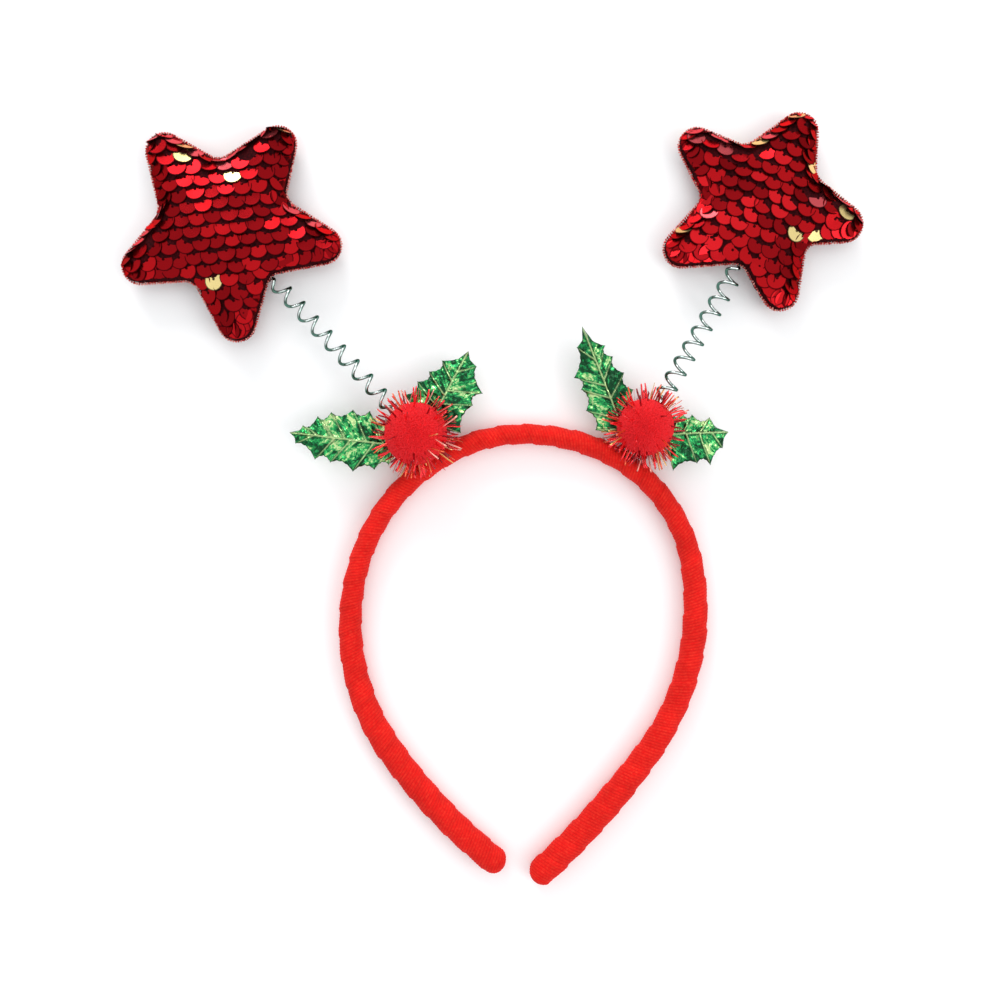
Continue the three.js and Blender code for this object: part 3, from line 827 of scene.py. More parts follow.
def embossed_foil(sizes):
    """Embossed green foil: crumpled metal film painted in dark, bright and pale flakes as painted shade and
    painted glints, with painted shadow beside its veins and a painted highlight on them.
    """
    material, tree = new_material("embossed_foil")
    coords = add(tree, "ShaderNodeTexCoord").outputs["Object"]
    bend = texture(tree, "Noise", 3.4, Vector=coords, Detail=2.0)
    warped = vectors(tree, "MULTIPLY_ADD", bend["Color"], (1.6 * MM,) * 3, coords)
    flake = texture(tree, "Voronoi", 0.9, Vector=warped)
    flakes = add(tree, "ShaderNodeSeparateColor", inputs={"Color": flake["Color"]}).outputs
    # The press draws the film out along the side veins, so the creases are longer that way.
    pressed = combined(tree, X=kept_value(tree, "strike"), Y=kept_value(tree, "run"))
    streak = texture(tree, "Noise", 2.0, Vector=pressed, Detail=5.0, Roughness=0.66, Distortion=0.9)
    broad = texture(tree, "Noise", 8, Vector=coords, Detail=1.0)
    creases = add(
        tree, "ShaderNodeMix", {"data_type": "FLOAT"}, {0: 0.36, 2: streak["Fac"], 3: broad["Fac"]}
    )
    # Painted light: the creases and flakes are painted from dark green as painted shade to pale green as
    # painted glints.
    painted_light_pattern = maths(tree, "MULTIPLY_ADD", flakes["Red"], 0.09, creases.outputs[0])
    steps = ((0.485, sizes.dark), (0.535, sizes.colour), (0.59, linear("2FB45C")), (0.655, sizes.pale))
    film = banded(tree, painted_light_pattern, steps, "LINEAR")
    vein = kept_value(tree, "vein")
    # Painted shadow beside the veins and a painted highlight along them. The leaf is also darker towards its
    # edge.
    painted_vein_shadow = mixed(tree, mapped(tree, vein, 0.03, 0.25, 0.0, 0.5), film, opaque(sizes.dark))
    painted_vein_highlight = mixed(tree, mapped(tree, vein, 0.4, 0.85, 0.0, 0.6), painted_vein_shadow, opaque(sizes.pale))
    crumple = bumped(tree, bend["Fac"], 0.9, 0.6)
    finish_material(
        tree,
        {
            "Base Color": mixed(tree, kept_value(tree, "rim"), painted_vein_highlight, opaque(sizes.dark)),
            "Metallic": 0.85,
            "Roughness": 0.24,
            "Coat Weight": 0.2,
            "Normal": bumped(tree, flakes["Green"], 0.35, 0.3, Normal=crumple),
        },
    )
    return material


# The band


WRAP_AT = (0.0, 0.13, 0.34, 0.56, 0.8, 1.0)
WRAP_RISE = (0.0, 1.0, 0.86, 0.55, 0.25, 0.0)
ROWS_PER_RIB = 6
BAND_SIDES = 32


def winding_point(along, turn, stand, sizes):
    """A point of the winding: turn goes round the section from the outer edge over the top."""
    middle, out = hoop_at(along)
    open_share = max(0.0, 1 - min(along, HOOP_LENGTH - along) / TIP_ROUND)
    closing = math.sqrt(max(0.0, 1 - open_share**2))
    half_width = sizes.width / MM * winding_share(along) / 2
    half_depth = sizes.depth / MM / 2
    across = closing * (half_width + stand) * math.cos(turn)
    height = half_depth - BAND_PRESSED + closing * (half_depth + stand) * math.sin(turn)
    return (middle.x + out.x * across, middle.y + out.y * across, max(height, 0.0))


def wound_band(sizes):
    """The winding's skin, its points in a thread round the hoop, and each point's place in its turn."""
    turns = round(HOOP_LENGTH / (sizes.wrap_pitch / MM)) + 1
    pitch = HOOP_LENGTH / (turns - 1)
    rows = sizes.ribs * ROWS_PER_RIB
    tip_height = sizes.depth / MM / 2 - BAND_PRESSED
    points = [(*hoop_at(0.0)[0], tip_height), (*hoop_at(HOOP_LENGTH)[0], tip_height)]
    phases = [0.0, 0.0]
    places = {}

    def along_at(turn):
        if turn < 1:
            return pitch * turn * turn / 2
        if turn > turns - 1:
            return HOOP_LENGTH - pitch * (turns - turn) ** 2 / 2
        return pitch * (turn - 0.5)

    def vertex(row, side):
        if side == BAND_SIDES:
            return vertex(row + rows, 0)
        turn = row / rows + side / BAND_SIDES
        if turn <= 0:
            return 0
        if turn >= turns:
            return 1
        key = row * BAND_SIDES + side
        if key not in places:
            phase = (row % rows) / rows
            stand = sizes.wrap_step / MM * float(np.interp(phase, WRAP_AT, WRAP_RISE))
            points.append(winding_point(along_at(turn), 2 * math.pi * side / BAND_SIDES, stand, sizes))
            phases.append(phase)
            places[key] = len(points) - 1
        return places[key]

    faces = []
    for row in range(-rows, turns * rows):
        for side in range(BAND_SIDES):
            sides = ((row, side), (row, side + 1), (row + 1, side + 1), (row + 1, side))
            corners = [vertex(*place) for place in sides]
            face = [corner for place, corner in enumerate(corners) if corner != corners[place - 1]]
            if len(set(face)) == len(face) > 2:
                faces.append(face)
    return [placed(point) for point in points], faces, phases


def rib_tree():
    """Raises the knitted ribs of the ribbon and makes the winding a little uneven."""
    tree, given = new_tree("ribbon_ribs", {"Ribs": "Float", "Rib Height": "Float", "Unevenness": "Float"})
    waver = texture(tree, "Noise", 4, Detail=1.0)["Fac"]
    wave = maths(tree, "MULTIPLY", named(tree, "turn_share"), given["Ribs"])
    half_turns = maths(tree, "MULTIPLY_ADD", waver, 0.55, wave)
    rib = maths(tree, "ABSOLUTE", maths(tree, "SINE", maths(tree, "MULTIPLY", half_turns, math.pi)))
    patchy = mapped(tree, texture(tree, "Noise", 2.6, Detail=1.0)["Fac"], 0.3, 0.65, 0.25, 1.2)
    rib_rise = maths(tree, "MULTIPLY", patchy, given["Rib Height"])
    lumps = maths(tree, "SUBTRACT", texture(tree, "Noise", 11, Detail=1.0)["Fac"], 0.5)
    swelling = maths(tree, "MULTIPLY", lumps, given["Unevenness"])
    rise = maths(tree, "MULTIPLY_ADD", rib, rib_rise, swelling)
    offset = scaled(tree, add(tree, "GeometryNodeInputNormal").outputs[0], rise)
    raised = moved(tree, stored(tree, given["Geometry"], "rib", rib), Offset=offset)
    finish_tree(tree, above_table(tree, raised), given["Material"])
    return tree


class HEADBAND_OT_band(bpy.types.Operator):
    """Winds the hoop with knitted ribbon"""

    bl_idname = "headband.band"
    bl_label = "Wind the Band"

    def execute(self, context):
        sizes = context.scene.headband_band
        points, faces, phases = wound_band(sizes)
        band = new_piece("band_winding", points, faces)
        store(band, turn_share=phases)
        inputs = {
            "Ribs": float(sizes.ribs),
            "Rib Height": sizes.rib_height,
            "Unevenness": sizes.unevenness,
            "Material": knitted_ribbon(sizes),
        }
        run_tree(band, rib_tree(), inputs)
        declare(band, "band")
        return {"FINISHED"}


# Springs


FOOT_HEIGHT = 5.1
FOOT_STEPS = 14
STEPS_PER_TURN = 28
WIRE_SIDES = 14


def wire_line(side, sizes):
    """A spring's middle line, with each point's turn and how far the coil is open there."""
    foot, seam = (placed(point) for point in spring_ends(side))
    way = (seam - foot).normalized()
    core = POMPOMS[side][0] * MM
    middle = placed(hoop_at(foot_along(side))[0])
    low = Vector((middle.x, middle.y, FOOT_HEIGHT * MM))
    corner = Vector((middle.x, middle.y, foot.z))
    points, turns, opened = [], [], []
    for step in range(FOOT_STEPS + 1):
        t = step / FOOT_STEPS
        points.append(low * (1 - t) ** 2 + corner * 2 * t * (1 - t) + foot * t**2)
        turns.append(0.0)
        opened.append(0.0)
    start = core + sizes.wire
    end = (seam - foot).length - sizes.wire
    steps = sizes.turns * STEPS_PER_TURN
    for step in range(steps + 1):
        turn = step / STEPS_PER_TURN
        points.append(foot + way * (start + (end - start) * step / steps))
        turns.append(turn)
        opened.append(min(1.0, 2 * turn, 2 * (sizes.turns - turn)))
    points.append(seam + way * STAR_TAIL * MM)
    turns.append(float(sizes.turns))
    opened.append(0.0)
    return points, turns, opened, way


def coil_tree():
    """Opens a line into a coil and gives it the thickness of the wire."""
    inputs = {"Coil Radius": "Float", "Wire Radius": "Float", "Across": "Vector", "Rise": "Vector"}
    tree, given = new_tree("coiled_wire", inputs)
    circle = maths(tree, "MULTIPLY", named(tree, "turn"), 2 * math.pi)
    radius = maths(tree, "MULTIPLY", named(tree, "opened"), given["Coil Radius"])
    swings = [
        scaled(tree, given[way], maths(tree, "MULTIPLY", maths(tree, operation, circle), radius))
        for operation, way in (("COSINE", "Across"), ("SINE", "Rise"))
    ]
    coiled = moved(tree, given["Geometry"], Offset=vectors(tree, "ADD", *swings))
    section = add(
        tree,
        "GeometryNodeCurvePrimitiveCircle",
        {"mode": "RADIUS"},
        {"Resolution": WIRE_SIDES, "Radius": given["Wire Radius"]},
    )
    line = add(tree, "GeometryNodeMeshToCurve", inputs={0: coiled})
    wire = add(
        tree,
        "GeometryNodeCurveToMesh",
        inputs={"Curve": line.outputs[0], "Profile Curve": section.outputs[0], "Fill Caps": True},
    )
    finish_tree(tree, wire.outputs[0], given["Material"])
    return tree


class HEADBAND_OT_springs(bpy.types.Operator):
    """Coils the two wire springs"""

    bl_idname = "headband.springs"
    bl_label = "Coil the Springs"

    def execute(self, context):
        sizes = context.scene.headband_springs
        steel = drawn_steel_wire(sizes)
        tree = coil_tree()
        for side in SIDES:
            points, turns, opened, way = wire_line(side, sizes)
            edges = [(place, place + 1) for place in range(len(points) - 1)]
            spring = new_piece(side + "_spring_wire", points, edges=edges)
            store(spring, turn=turns, opened=opened)
            across = way.cross(Vector((0, 0, 1))).normalized()
            inputs = {
                "Coil Radius": (SPRINGS[side][2] * MM - sizes.wire) / 2,
                "Wire Radius": sizes.wire / 2,
                "Across": across,
                "Rise": way.cross(across),
                "Material": steel,
            }
            run_tree(spring, tree, inputs)
            declare(spring, side + "_spring")
        return {"FINISHED"}


# Stars


STAR_THICKNESS = 17.0
STAR_FILL_DEPTH = 23.0
STAR_NOTCH_ROUND = 2.4
TIP_STEPS = 14
SEAM_STEPS = 400
SEAM_POINTS = 150
SLACK = 0.92
CLOTH_GRID = 2.6
CLOTH_LIFT = 0.7
CLOTH_FRAMES = 20
SWELL_CAP = 0.9

SEQUIN_SIDES = 18
SEQUIN_CUP = 0.08
SEQUIN_THICKNESS = 0.12
SEWN_FROM_EDGE = 3.0
KNOT_SIDES = 6
SEAM_SEQUINS = 62
SEAM_ROW_INSET = 2.9
SEAM_ROW_OVERHANG = 1.7
ROWS_CLEAR = 2.1
GRID_COLUMNS = 25
GRID_ROWS = 29
# A sequin is left out where one of these places beside its hole lies past the seam.
SEQUIN_REACH = ((-1.4, -0.6), (1.4, -0.6), (0.0, -2.4))


def star_outline(side, steps):
    """A star's seam from its middle: round points, with straight sides to small hollows."""
    star = STARS[side]
    rows = star["outline"]
    notches = [polar(row[2], row[3] * star["reach"]) for row in rows]
    points = []
    for place, row in enumerate(rows):
        middle = polar(row[0], row[1] * star["reach"] - STAR_TIP_ROUND)
        ends = []
        for notch, sign in ((notches[place - 1], -1), (notches[place], 1)):
            line = notch - middle
            spread = math.acos(STAR_TIP_ROUND / line.length)
            ends.append(math.atan2(line.y, line.x) - sign * spread)
        first, last = ends
        while last < first:
            last += 2 * math.pi
        while last > first + 2 * math.pi:
            last -= 2 * math.pi
        for turn in np.linspace(first, last, TIP_STEPS):
            points.append(middle + Vector((math.cos(turn), math.sin(turn))) * STAR_TIP_ROUND)
        notch = notches[place]
        after = rows[(place + 1) % len(rows)]
        into = (points[-1] - notch).normalized()
        away = (polar(after[0], after[1] * star["reach"]) - notch).normalized()
        points.append(notch + into * STAR_NOTCH_ROUND)
        points.append(notch + (into + away) * 0.9)
        points.append(notch + away * STAR_NOTCH_ROUND)
    closed = points + points[:1]
    walked = np.cumsum([0.0] + [(b - a).length for a, b in zip(closed, closed[1:])])
    even = np.linspace(0, walked[-1], steps, endpoint=False)
    xs = np.interp(even, walked, [point.x for point in closed])
    ys = np.interp(even, walked, [point.y for point in closed])
    return [Vector((x, y)) for x, y in zip(xs, ys)]


def seam_row_line(side):
    """Where the row of sequins along a star's seam is sewn, further in where they hang outwards."""
    line = star_outline(side, SEAM_SEQUINS)
    fall = polar(STARS[side]["row_turn"] - 90, 1)
    inset = []
    for before, point, after in zip(line[-1:] + line, line, line[1:] + line[:1]):
        run = (after - before).normalized()
        outward = Vector((run.y, -run.x))
        if outward.dot(point) < 0:
            outward.negate()
        inset.append(point - outward * (SEAM_ROW_INSET + SEAM_ROW_OVERHANG * outward.dot(fall)))
    return inset


def star_height(spot, edge):
    """How far a star's face stands from its seam plane over a spot, and how near the seam is."""
    near = math.inf
    for a, b in zip(edge, edge[1:] + edge[:1]):
        foot, along = geometry.intersect_point_line(spot, a, b)
        beside = (foot,) if 0 <= along <= 1 else (a, b)
        near = min(near, *((spot - other).length for other in beside))
    share_in = min(1.0, near / STAR_FILL_DEPTH)
    return STAR_THICKNESS / 2 * math.sqrt(1 - (1 - share_in) ** 2), near


def two_faced(side):
    """A star's two faces of cloth, joined at the seam, a little slacker than when they are stuffed."""
    edge = star_outline(side, SEAM_POINTS)
    reach = STARS[side]["reach"]
    rows = int(reach / CLOTH_GRID) + 2
    inside = []
    for row in range(-rows, rows + 1):
        for column in range(-rows, rows + 1):
            spot = Vector(((column + 0.5 * (row % 2)) * CLOTH_GRID, row * CLOTH_GRID * 0.866))
            if spot.length < reach and star_height(spot, edge)[1] > 0.4 * CLOTH_GRID:
                inside.append(spot)
    outline = [list(range(len(edge)))]
    found, _, triangles = geometry.delaunay_2d_cdt(edge + inside, [], outline, 1, 1e-6)[:3]
    middle = placed(star_middle(side))
    heights = [star_height(spot, edge) for spot in found]
    points = []
    for spot, (height, _) in zip(found, heights):
        points.append(middle + Vector((spot.x, spot.y, SLACK * height)) * MM)
    under = []
    for spot, (height, near) in zip(found, heights):
        if near < 1e-3:
            under.append(len(under))
            continue
        low = -min(SLACK * height, STAR_SEAM_HEIGHT - CLOTH_LIFT)
        points.append(middle + Vector((spot.x, spot.y, low)) * MM)
        under.append(len(points) - 1)
    faces = [tuple(triangle) for triangle in triangles]
    faces += [tuple(under[corner] for corner in reversed(triangle)) for triangle in triangles]
    seam = [place for place, (_, near) in enumerate(heights) if near < 1e-3]
    return points, faces, seam


def swell(pillow, seam):
    """Blows a body up as cloth while its seam is held."""
    held = pillow.vertex_groups.new(name="seam")
    held.add(seam, 1.0, "REPLACE")
    cloth = pillow.modifiers.new("swell", "CLOTH")
    cloth.settings.vertex_group_mass = "seam"
    cloth.settings.use_pressure = True
    cloth.settings.uniform_pressure_force = 4.0
    cloth.settings.effector_weights.gravity = 0.0
    cloth.settings.quality = 5
    cloth.point_cache.frame_start = 1
    cloth.point_cache.frame_end = CLOTH_FRAMES
    scene = bpy.context.scene
    for step in range(1, CLOTH_FRAMES + 1):
        scene.frame_set(step)
    bake(pillow)
    scene.frame_set(1)


def stuffed_pillow(side, backing):
    """A star's stuffed body: two faces of cloth held at their seam and swelled by pressure."""
    points, faces, seam = two_faced(side)
    pillow = new_piece(side + "_star_body", points, faces, material=backing)
    swell(pillow, seam)
    end = np.array([vertex.co for vertex in pillow.data.vertices])
    begun = np.array([tuple(point) for point in points])
    far = np.linalg.norm(end - begun, axis=1, keepdims=True)
    end = begun + (end - begun) * np.minimum(1.0, SWELL_CAP * MM / np.maximum(far, 1e-9))
    end[:, 2] = np.maximum(end[:, 2], CLOTH_LIFT * MM)
    pillow.data.vertices.foreach_set("co", end.ravel())
    finer = pillow.modifiers.new("finer", "SUBSURF")
    finer.levels = 1
    finer.render_levels = 1
    bake(pillow)
    shade_smooth(pillow)
    return pillow


def sequin_disc(sizes):
    """A cupped sequin with its sewing hole at the origin and its free edge towards -Y."""
    sewn = Vector((0.0, sizes.sequin / 2 - SEWN_FROM_EDGE * MM, 0.0))
    rise = Vector((0, 0, SEQUIN_CUP * MM))
    spokes = [polar(360 * step / SEQUIN_SIDES, sizes.sequin / 2).to_3d() for step in range(SEQUIN_SIDES)]
    points = [spoke + rise for spoke in spokes]
    points += [spoke * 0.84 + rise * 0.7 for spoke in spokes]
    points += [spoke + rise - Vector((0, 0, SEQUIN_THICKNESS * MM)) for spoke in spokes]
    points.append(rise * 0.2)
    faces = [tuple(reversed(range(2 * SEQUIN_SIDES, 3 * SEQUIN_SIDES)))]
    for step in range(SEQUIN_SIDES):
        after = (step + 1) % SEQUIN_SIDES
        within, under = SEQUIN_SIDES, 2 * SEQUIN_SIDES
        faces.append((within + step, within + after, 3 * SEQUIN_SIDES))
        faces.append((step, after, within + after, within + step))
        faces.append((under + step, under + after, after, step))
    # The thread's knot fills the sewing hole. It is painted near-black as painted shade in the hole.
    first = len(points)
    for step in range(KNOT_SIDES):
        points.append(sewn + polar(360 / KNOT_SIDES * step, sizes.hole / 2).to_3d() + rise * 0.7)
        faces.append((first + step, first + (step + 1) % KNOT_SIDES, first + KNOT_SIDES))
    points.append(sewn + rise * 2.2)
    faces.append(tuple(reversed(range(first, first + KNOT_SIDES))))
    disc = new_piece("sequin_disc", [point - sewn for point in points], faces)
    # rim marks the painted shadow: the outer edge, the underside and the knot are painted nearly black.
    rim = [1.0] * SEQUIN_SIDES + [0.0] * SEQUIN_SIDES + [0.7] * SEQUIN_SIDES + [0.0]
    store(disc, rim=rim + [1.0] * (KNOT_SIDES + 1))
    return disc


def sequin_tree():
    """Sews rows of sequins on one face of a star, each row leaning over the one below it."""
    tree, given = new_tree(
        "sequin_rows",
        {
            "Disc": "Object",
            "Seam Row": "Object",
            "In Row": "Float",
            "Rows": "Float",
            "Row Turn": "Float",
            "Lean": "Float",
            "Middle": "Vector",
            "Face": "Float",
            "Shine": "Float",
            "Seed": "Int",
        },
    )
    grid = add(
        tree,
        "GeometryNodeMeshGrid",
        inputs={
            "Vertices X": GRID_COLUMNS,
            "Vertices Y": GRID_ROWS,
            "Size X": maths(tree, "MULTIPLY", given["In Row"], GRID_COLUMNS - 1.0),
            "Size Y": maths(tree, "MULTIPLY", given["Rows"], GRID_ROWS - 1.0),
        },
    )
    position = add(tree, "GeometryNodeInputPosition").outputs[0]
    # Every other row is shifted by half a sequin, and each sequin sits a little off its place.
    row = maths(tree, "ROUND", maths(tree, "DIVIDE", parted(tree, position)["Y"], given["Rows"]))
    odd = maths(tree, "FLOORED_MODULO", row, 2.0)
    shift = maths(tree, "MULTIPLY", odd, maths(tree, "MULTIPLY", given["In Row"], 0.5))
    ends = {"Min": (-0.35 * MM,) * 3, "Max": (0.35 * MM,) * 3}
    jitter = chance(tree, given["Seed"], "FLOAT_VECTOR", **ends)
    uneven = vectors(tree, "ADD", combined(tree, X=shift), jitter)
    laid = turned_flat(tree, vectors(tree, "ADD", position, uneven), given["Row Turn"])
    spread = moved(tree, grid.outputs["Mesh"], Position=vectors(tree, "ADD", laid, given["Middle"]))
    # Along the seam the cloth is steep, so one more row follows it.
    seam_row = object_shape(tree, given["Seam Row"])
    places = joined(tree, spread, seam_row)
    high = combined(tree, Z=maths(tree, "MULTIPLY", given["Face"], 60 * MM))
    source = vectors(tree, "ADD", position, high)
    ray = combined(tree, Z=maths(tree, "MULTIPLY", given["Face"], -1.0))
    hit = cast(tree, given["Geometry"], source, ray)
    normal = parted(tree, hit["Hit Normal"])
    upright = maths(tree, "MULTIPLY", normal["Z"], given["Face"])
    wanted = logic(tree, "AND", hit["Is Hit"], maths(tree, "GREATER_THAN", upright, 0.12))
    for x, y in SEQUIN_REACH:
        beside = turned_flat(tree, (x * MM, y * MM, 0.0), given["Row Turn"])
        under = cast(tree, given["Geometry"], vectors(tree, "ADD", source, beside), ray)
        wanted = logic(tree, "AND", wanted, under["Is Hit"])
    # The rows stop short of the row along the seam, whose own sequins all stay.
    near = add(tree, "GeometryNodeProximity", {"target_element": "POINTS"}, {0: seam_row}).outputs["Distance"]
    clear = maths(tree, "GREATER_THAN", near, ROWS_CLEAR * MM)
    own = maths(tree, "LESS_THAN", near, 0.05 * MM)
    wanted = logic(tree, "AND", wanted, logic(tree, "OR", clear, own))
    fall = turned_flat(tree, (0.0, -1.0, 0.0), given["Row Turn"])
    leant = scaled(tree, fall, maths(tree, "SINE", given["Lean"]))
    tilt = chance(tree, given["Seed"], "FLOAT_VECTOR", Min=(-0.1,) * 3, Max=(0.1,) * 3)
    facing = vectors(tree, "ADD", vectors(tree, "SUBTRACT", hit["Hit Normal"], leant), tilt)
    # Painted light: a few sequins take a full painted glint by chance. The others are painted brighter where
    # the cloth turns away from level, most of all where it faces towards the crown of the stars, and each
    # star adds its own painted brightness.
    lot = chance(tree, given["Seed"])
    painted_slope_light = mapped(tree, upright, 0.97, 0.45, 0.0, 0.16)
    crown = mapped(tree, normal["Y"], 0.12, 0.6, 0.0, 0.36)
    glint = maths(tree, "MULTIPLY_ADD", lot, 0.62, maths(tree, "ADD", painted_slope_light, crown))
    with_painted_shine = maths(tree, "ADD", glint, given["Shine"])
    painted_glint_level = maths(tree, "MAXIMUM", with_painted_shine, maths(tree, "GREATER_THAN", lot, 0.972))
    places = stored(tree, places, "facing", facing, "FLOAT_VECTOR")
    places = stored(tree, places, "wanted", wanted, "BOOLEAN")
    places = stored(tree, places, "glint", painted_glint_level)
    upward = named(tree, "facing", "FLOAT_VECTOR")
    stood = add(tree, "FunctionNodeAlignRotationToVector", {"axis": "Z"}, {"Vector": upward})
    hung = add(
        tree,
        "FunctionNodeAlignRotationToVector",
        {"axis": "Y", "pivot_axis": "Z"},
        {"Rotation": stood.outputs[0], "Vector": scaled(tree, fall, -1.0)},
    )
    sequins = add(
        tree,
        "GeometryNodeInstanceOnPoints",
        inputs={
            "Points": moved(tree, places, Position=hit["Hit Position"]),
            "Selection": named(tree, "wanted", "BOOLEAN"),
            "Instance": object_shape(tree, given["Disc"]),
            "Rotation": hung.outputs[0],
        },
    )
    real = add(tree, "GeometryNodeRealizeInstances", inputs={0: sequins.outputs[0]})
    # Where a disc reaches past the seam, it bends round it.
    over = vectors(tree, "ADD", position, (0.0, 0.0, 0.1))
    below = cast(tree, given["Geometry"], over, (0.0, 0.0, -1.0), 0.3)
    cloth = add(tree, "GeometryNodeProximity", {"target_element": "FACES"}, {0: given["Geometry"]})
    inputs = {"Factor": 0.8, 4: position, 5: cloth.outputs["Position"]}
    pulled = add(tree, "ShaderNodeMix", {"data_type": "VECTOR"}, inputs).outputs[1]
    past = logic(tree, "NOT", below["Is Hit"])
    bent = moved(tree, real.outputs[0], Selection=past, Position=pulled)
    finish_tree(tree, above_table(tree, bent), given["Material"], smooth=False)
    return tree


def seam_tree():
    """Whips stitches of glitter thread along a star's seam."""
    tree, given = new_tree("seam_stitches", {"Stitch": "Float", "Seed": "Int"})
    line = add(tree, "GeometryNodeMeshToCurve", inputs={0: given["Geometry"]})
    inputs = {"Curve": line.outputs[0], "Length": given["Stitch"]}
    spaced = add(tree, "GeometryNodeCurveToPoints", {"mode": "LENGTH"}, inputs)
    radius = maths(tree, "MULTIPLY", given["Stitch"], 0.6)
    knot = add(tree, "GeometryNodeMeshIcoSphere", inputs={"Subdivisions": 2, "Radius": radius})
    spin = chance(tree, given["Seed"], "FLOAT_VECTOR", Min=(-0.5,) * 3, Max=(0.5,) * 3)
    ends = {"Min": (0.75, 1.0, 0.5), "Max": (1.05, 1.5, 0.75)}
    size = chance(tree, given["Seed"], "FLOAT_VECTOR", **ends)
    inputs = {"Rotation": spaced.outputs["Rotation"], "Rotate By": spin}
    turned = add(tree, "FunctionNodeRotateRotation", inputs=inputs)
    stitches = add(
        tree,
        "GeometryNodeInstanceOnPoints",
        inputs={
            "Points": stored(tree, spaced.outputs["Points"], "glint", chance(tree, given["Seed"])),
            "Instance": knot.outputs["Mesh"],
            "Rotation": turned.outputs[0],
            "Scale": size,
        },
    )
    finish_tree(tree, stitches.outputs[0], given["Material"])
    return tree


class HEADBAND_OT_stars(bpy.types.Operator):
    """Stuffs the two stars and sews on their sequins"""

    bl_idname = "headband.stars"
    bl_label = "Sew the Stars"

    def execute(self, context):
        sizes = context.scene.headband_stars
        backing = knitted_backing()
        shiny = metallised_sequin(sizes)
        thread = glitter_thread(sizes)
        disc = sequin_disc(sizes)
        rows, seam = sequin_tree(), seam_tree()
        for place, side in enumerate(SIDES):
            middle = placed(star_middle(side))
            floor_middle = Vector((middle.x, middle.y, 0))
            pillow = stuffed_pillow(side, backing)
            inset = [floor_middle + point.to_3d() * MM for point in seam_row_line(side)]
            seam_row = new_piece(side + "_star_seam_row", inset)
            for face, label in ((1.0, "front"), (-1.0, "back")):
                sequins = show(f"{side}_star_sequins_{label}", pillow.data.copy())
                inputs = {
                    "Disc": disc,
                    "Seam Row": seam_row,
                    "In Row": sizes.in_row,
                    "Rows": sizes.rows,
                    "Row Turn": math.radians(STARS[side]["row_turn"]),
                    "Lean": sizes.lean,
                    "Middle": floor_middle,
                    "Face": face,
                    "Shine": STARS[side]["painted_shine"],
                    "Seed": 11 + 7 * place + int(face),
                    "Material": shiny,
                }
                run_tree(sequins, rows, inputs)
                declare(sequins, side + "_star")
            drop(seam_row)
            edge = [middle + point.to_3d() * MM * 0.99 for point in star_outline(side, SEAM_STEPS)]
            ring = [(step, (step + 1) % SEAM_STEPS) for step in range(SEAM_STEPS)]
            stitched = new_piece(side + "_star_seam", edge, edges=ring)
            run_tree(stitched, seam, {"Stitch": sizes.stitch, "Seed": 3 + place, "Material": thread})
            declare(stitched, side + "_star")
            declare(pillow, side + "_star")
        drop(disc)
        return {"FINISHED"}


# Pompoms


STRAND_ROOT = 1.0
STRIP_ROOT = 1.5
STRIP_BEND = 0.9
STRIP_TWIST = 0.6
STRIP_THICKNESS = 0.08
STRIP_STEPS = 6
# More strips are sown than are asked for, because those over the top of the pile are thinned out.
STRIPS_SOWN = 1.7


def ring_faces(rings, corners):
    """The faces of a closed shape made of rings of points, and its two ends."""
    faces = [tuple(reversed(range(corners))), tuple((rings - 1) * corners + side for side in range(corners))]
    for low in range(0, (rings - 1) * corners, corners):
        for side in range(corners):
            after = (side + 1) % corners
            faces.append((low + side, low + after, low + corners + after, low + corners + side))
    return faces


def strand_shape(sizes):
    """A short strand of pile along +Z from the origin, three-sided and blunt."""
    points = []
    for height, wide in ((-STRAND_ROOT * MM, 1.0), (sizes.pile, 0.55)):
        for corner in range(3):
            spot = polar(120 * corner, sizes.strand / 2 * wide)
            points.append((spot.x, spot.y, height))
    strand = new_piece("pile_strand", points, ring_faces(2, 3))
    store(strand, root=[0.0] * 3 + [1.0] * 3)
    return strand


def strip_shape(sizes):
    """A strip of tinsel along +Z from the origin, bent and a little twisted."""
    points = []
    for step in range(STRIP_STEPS + 1):
        t = step / STRIP_STEPS
        height = -STRIP_ROOT * MM + (sizes.tinsel_length + STRIP_ROOT * MM) * t
        turn = STRIP_TWIST * t
        wide = sizes.tinsel_width / 2 * (1 if step < STRIP_STEPS else 0.8)
        thick = STRIP_THICKNESS / 2 * MM
        for x, y in ((wide, thick), (-wide, thick), (-wide, -thick), (wide, -thick)):
            spun_x = x * math.cos(turn) - y * math.sin(turn)
            spun_y = x * math.sin(turn) + y * math.cos(turn)
            points.append((spun_x, spun_y + STRIP_BEND * MM * t * t, height))
    return new_piece("tinsel_strip", points, ring_faces(STRIP_STEPS + 1, 4))


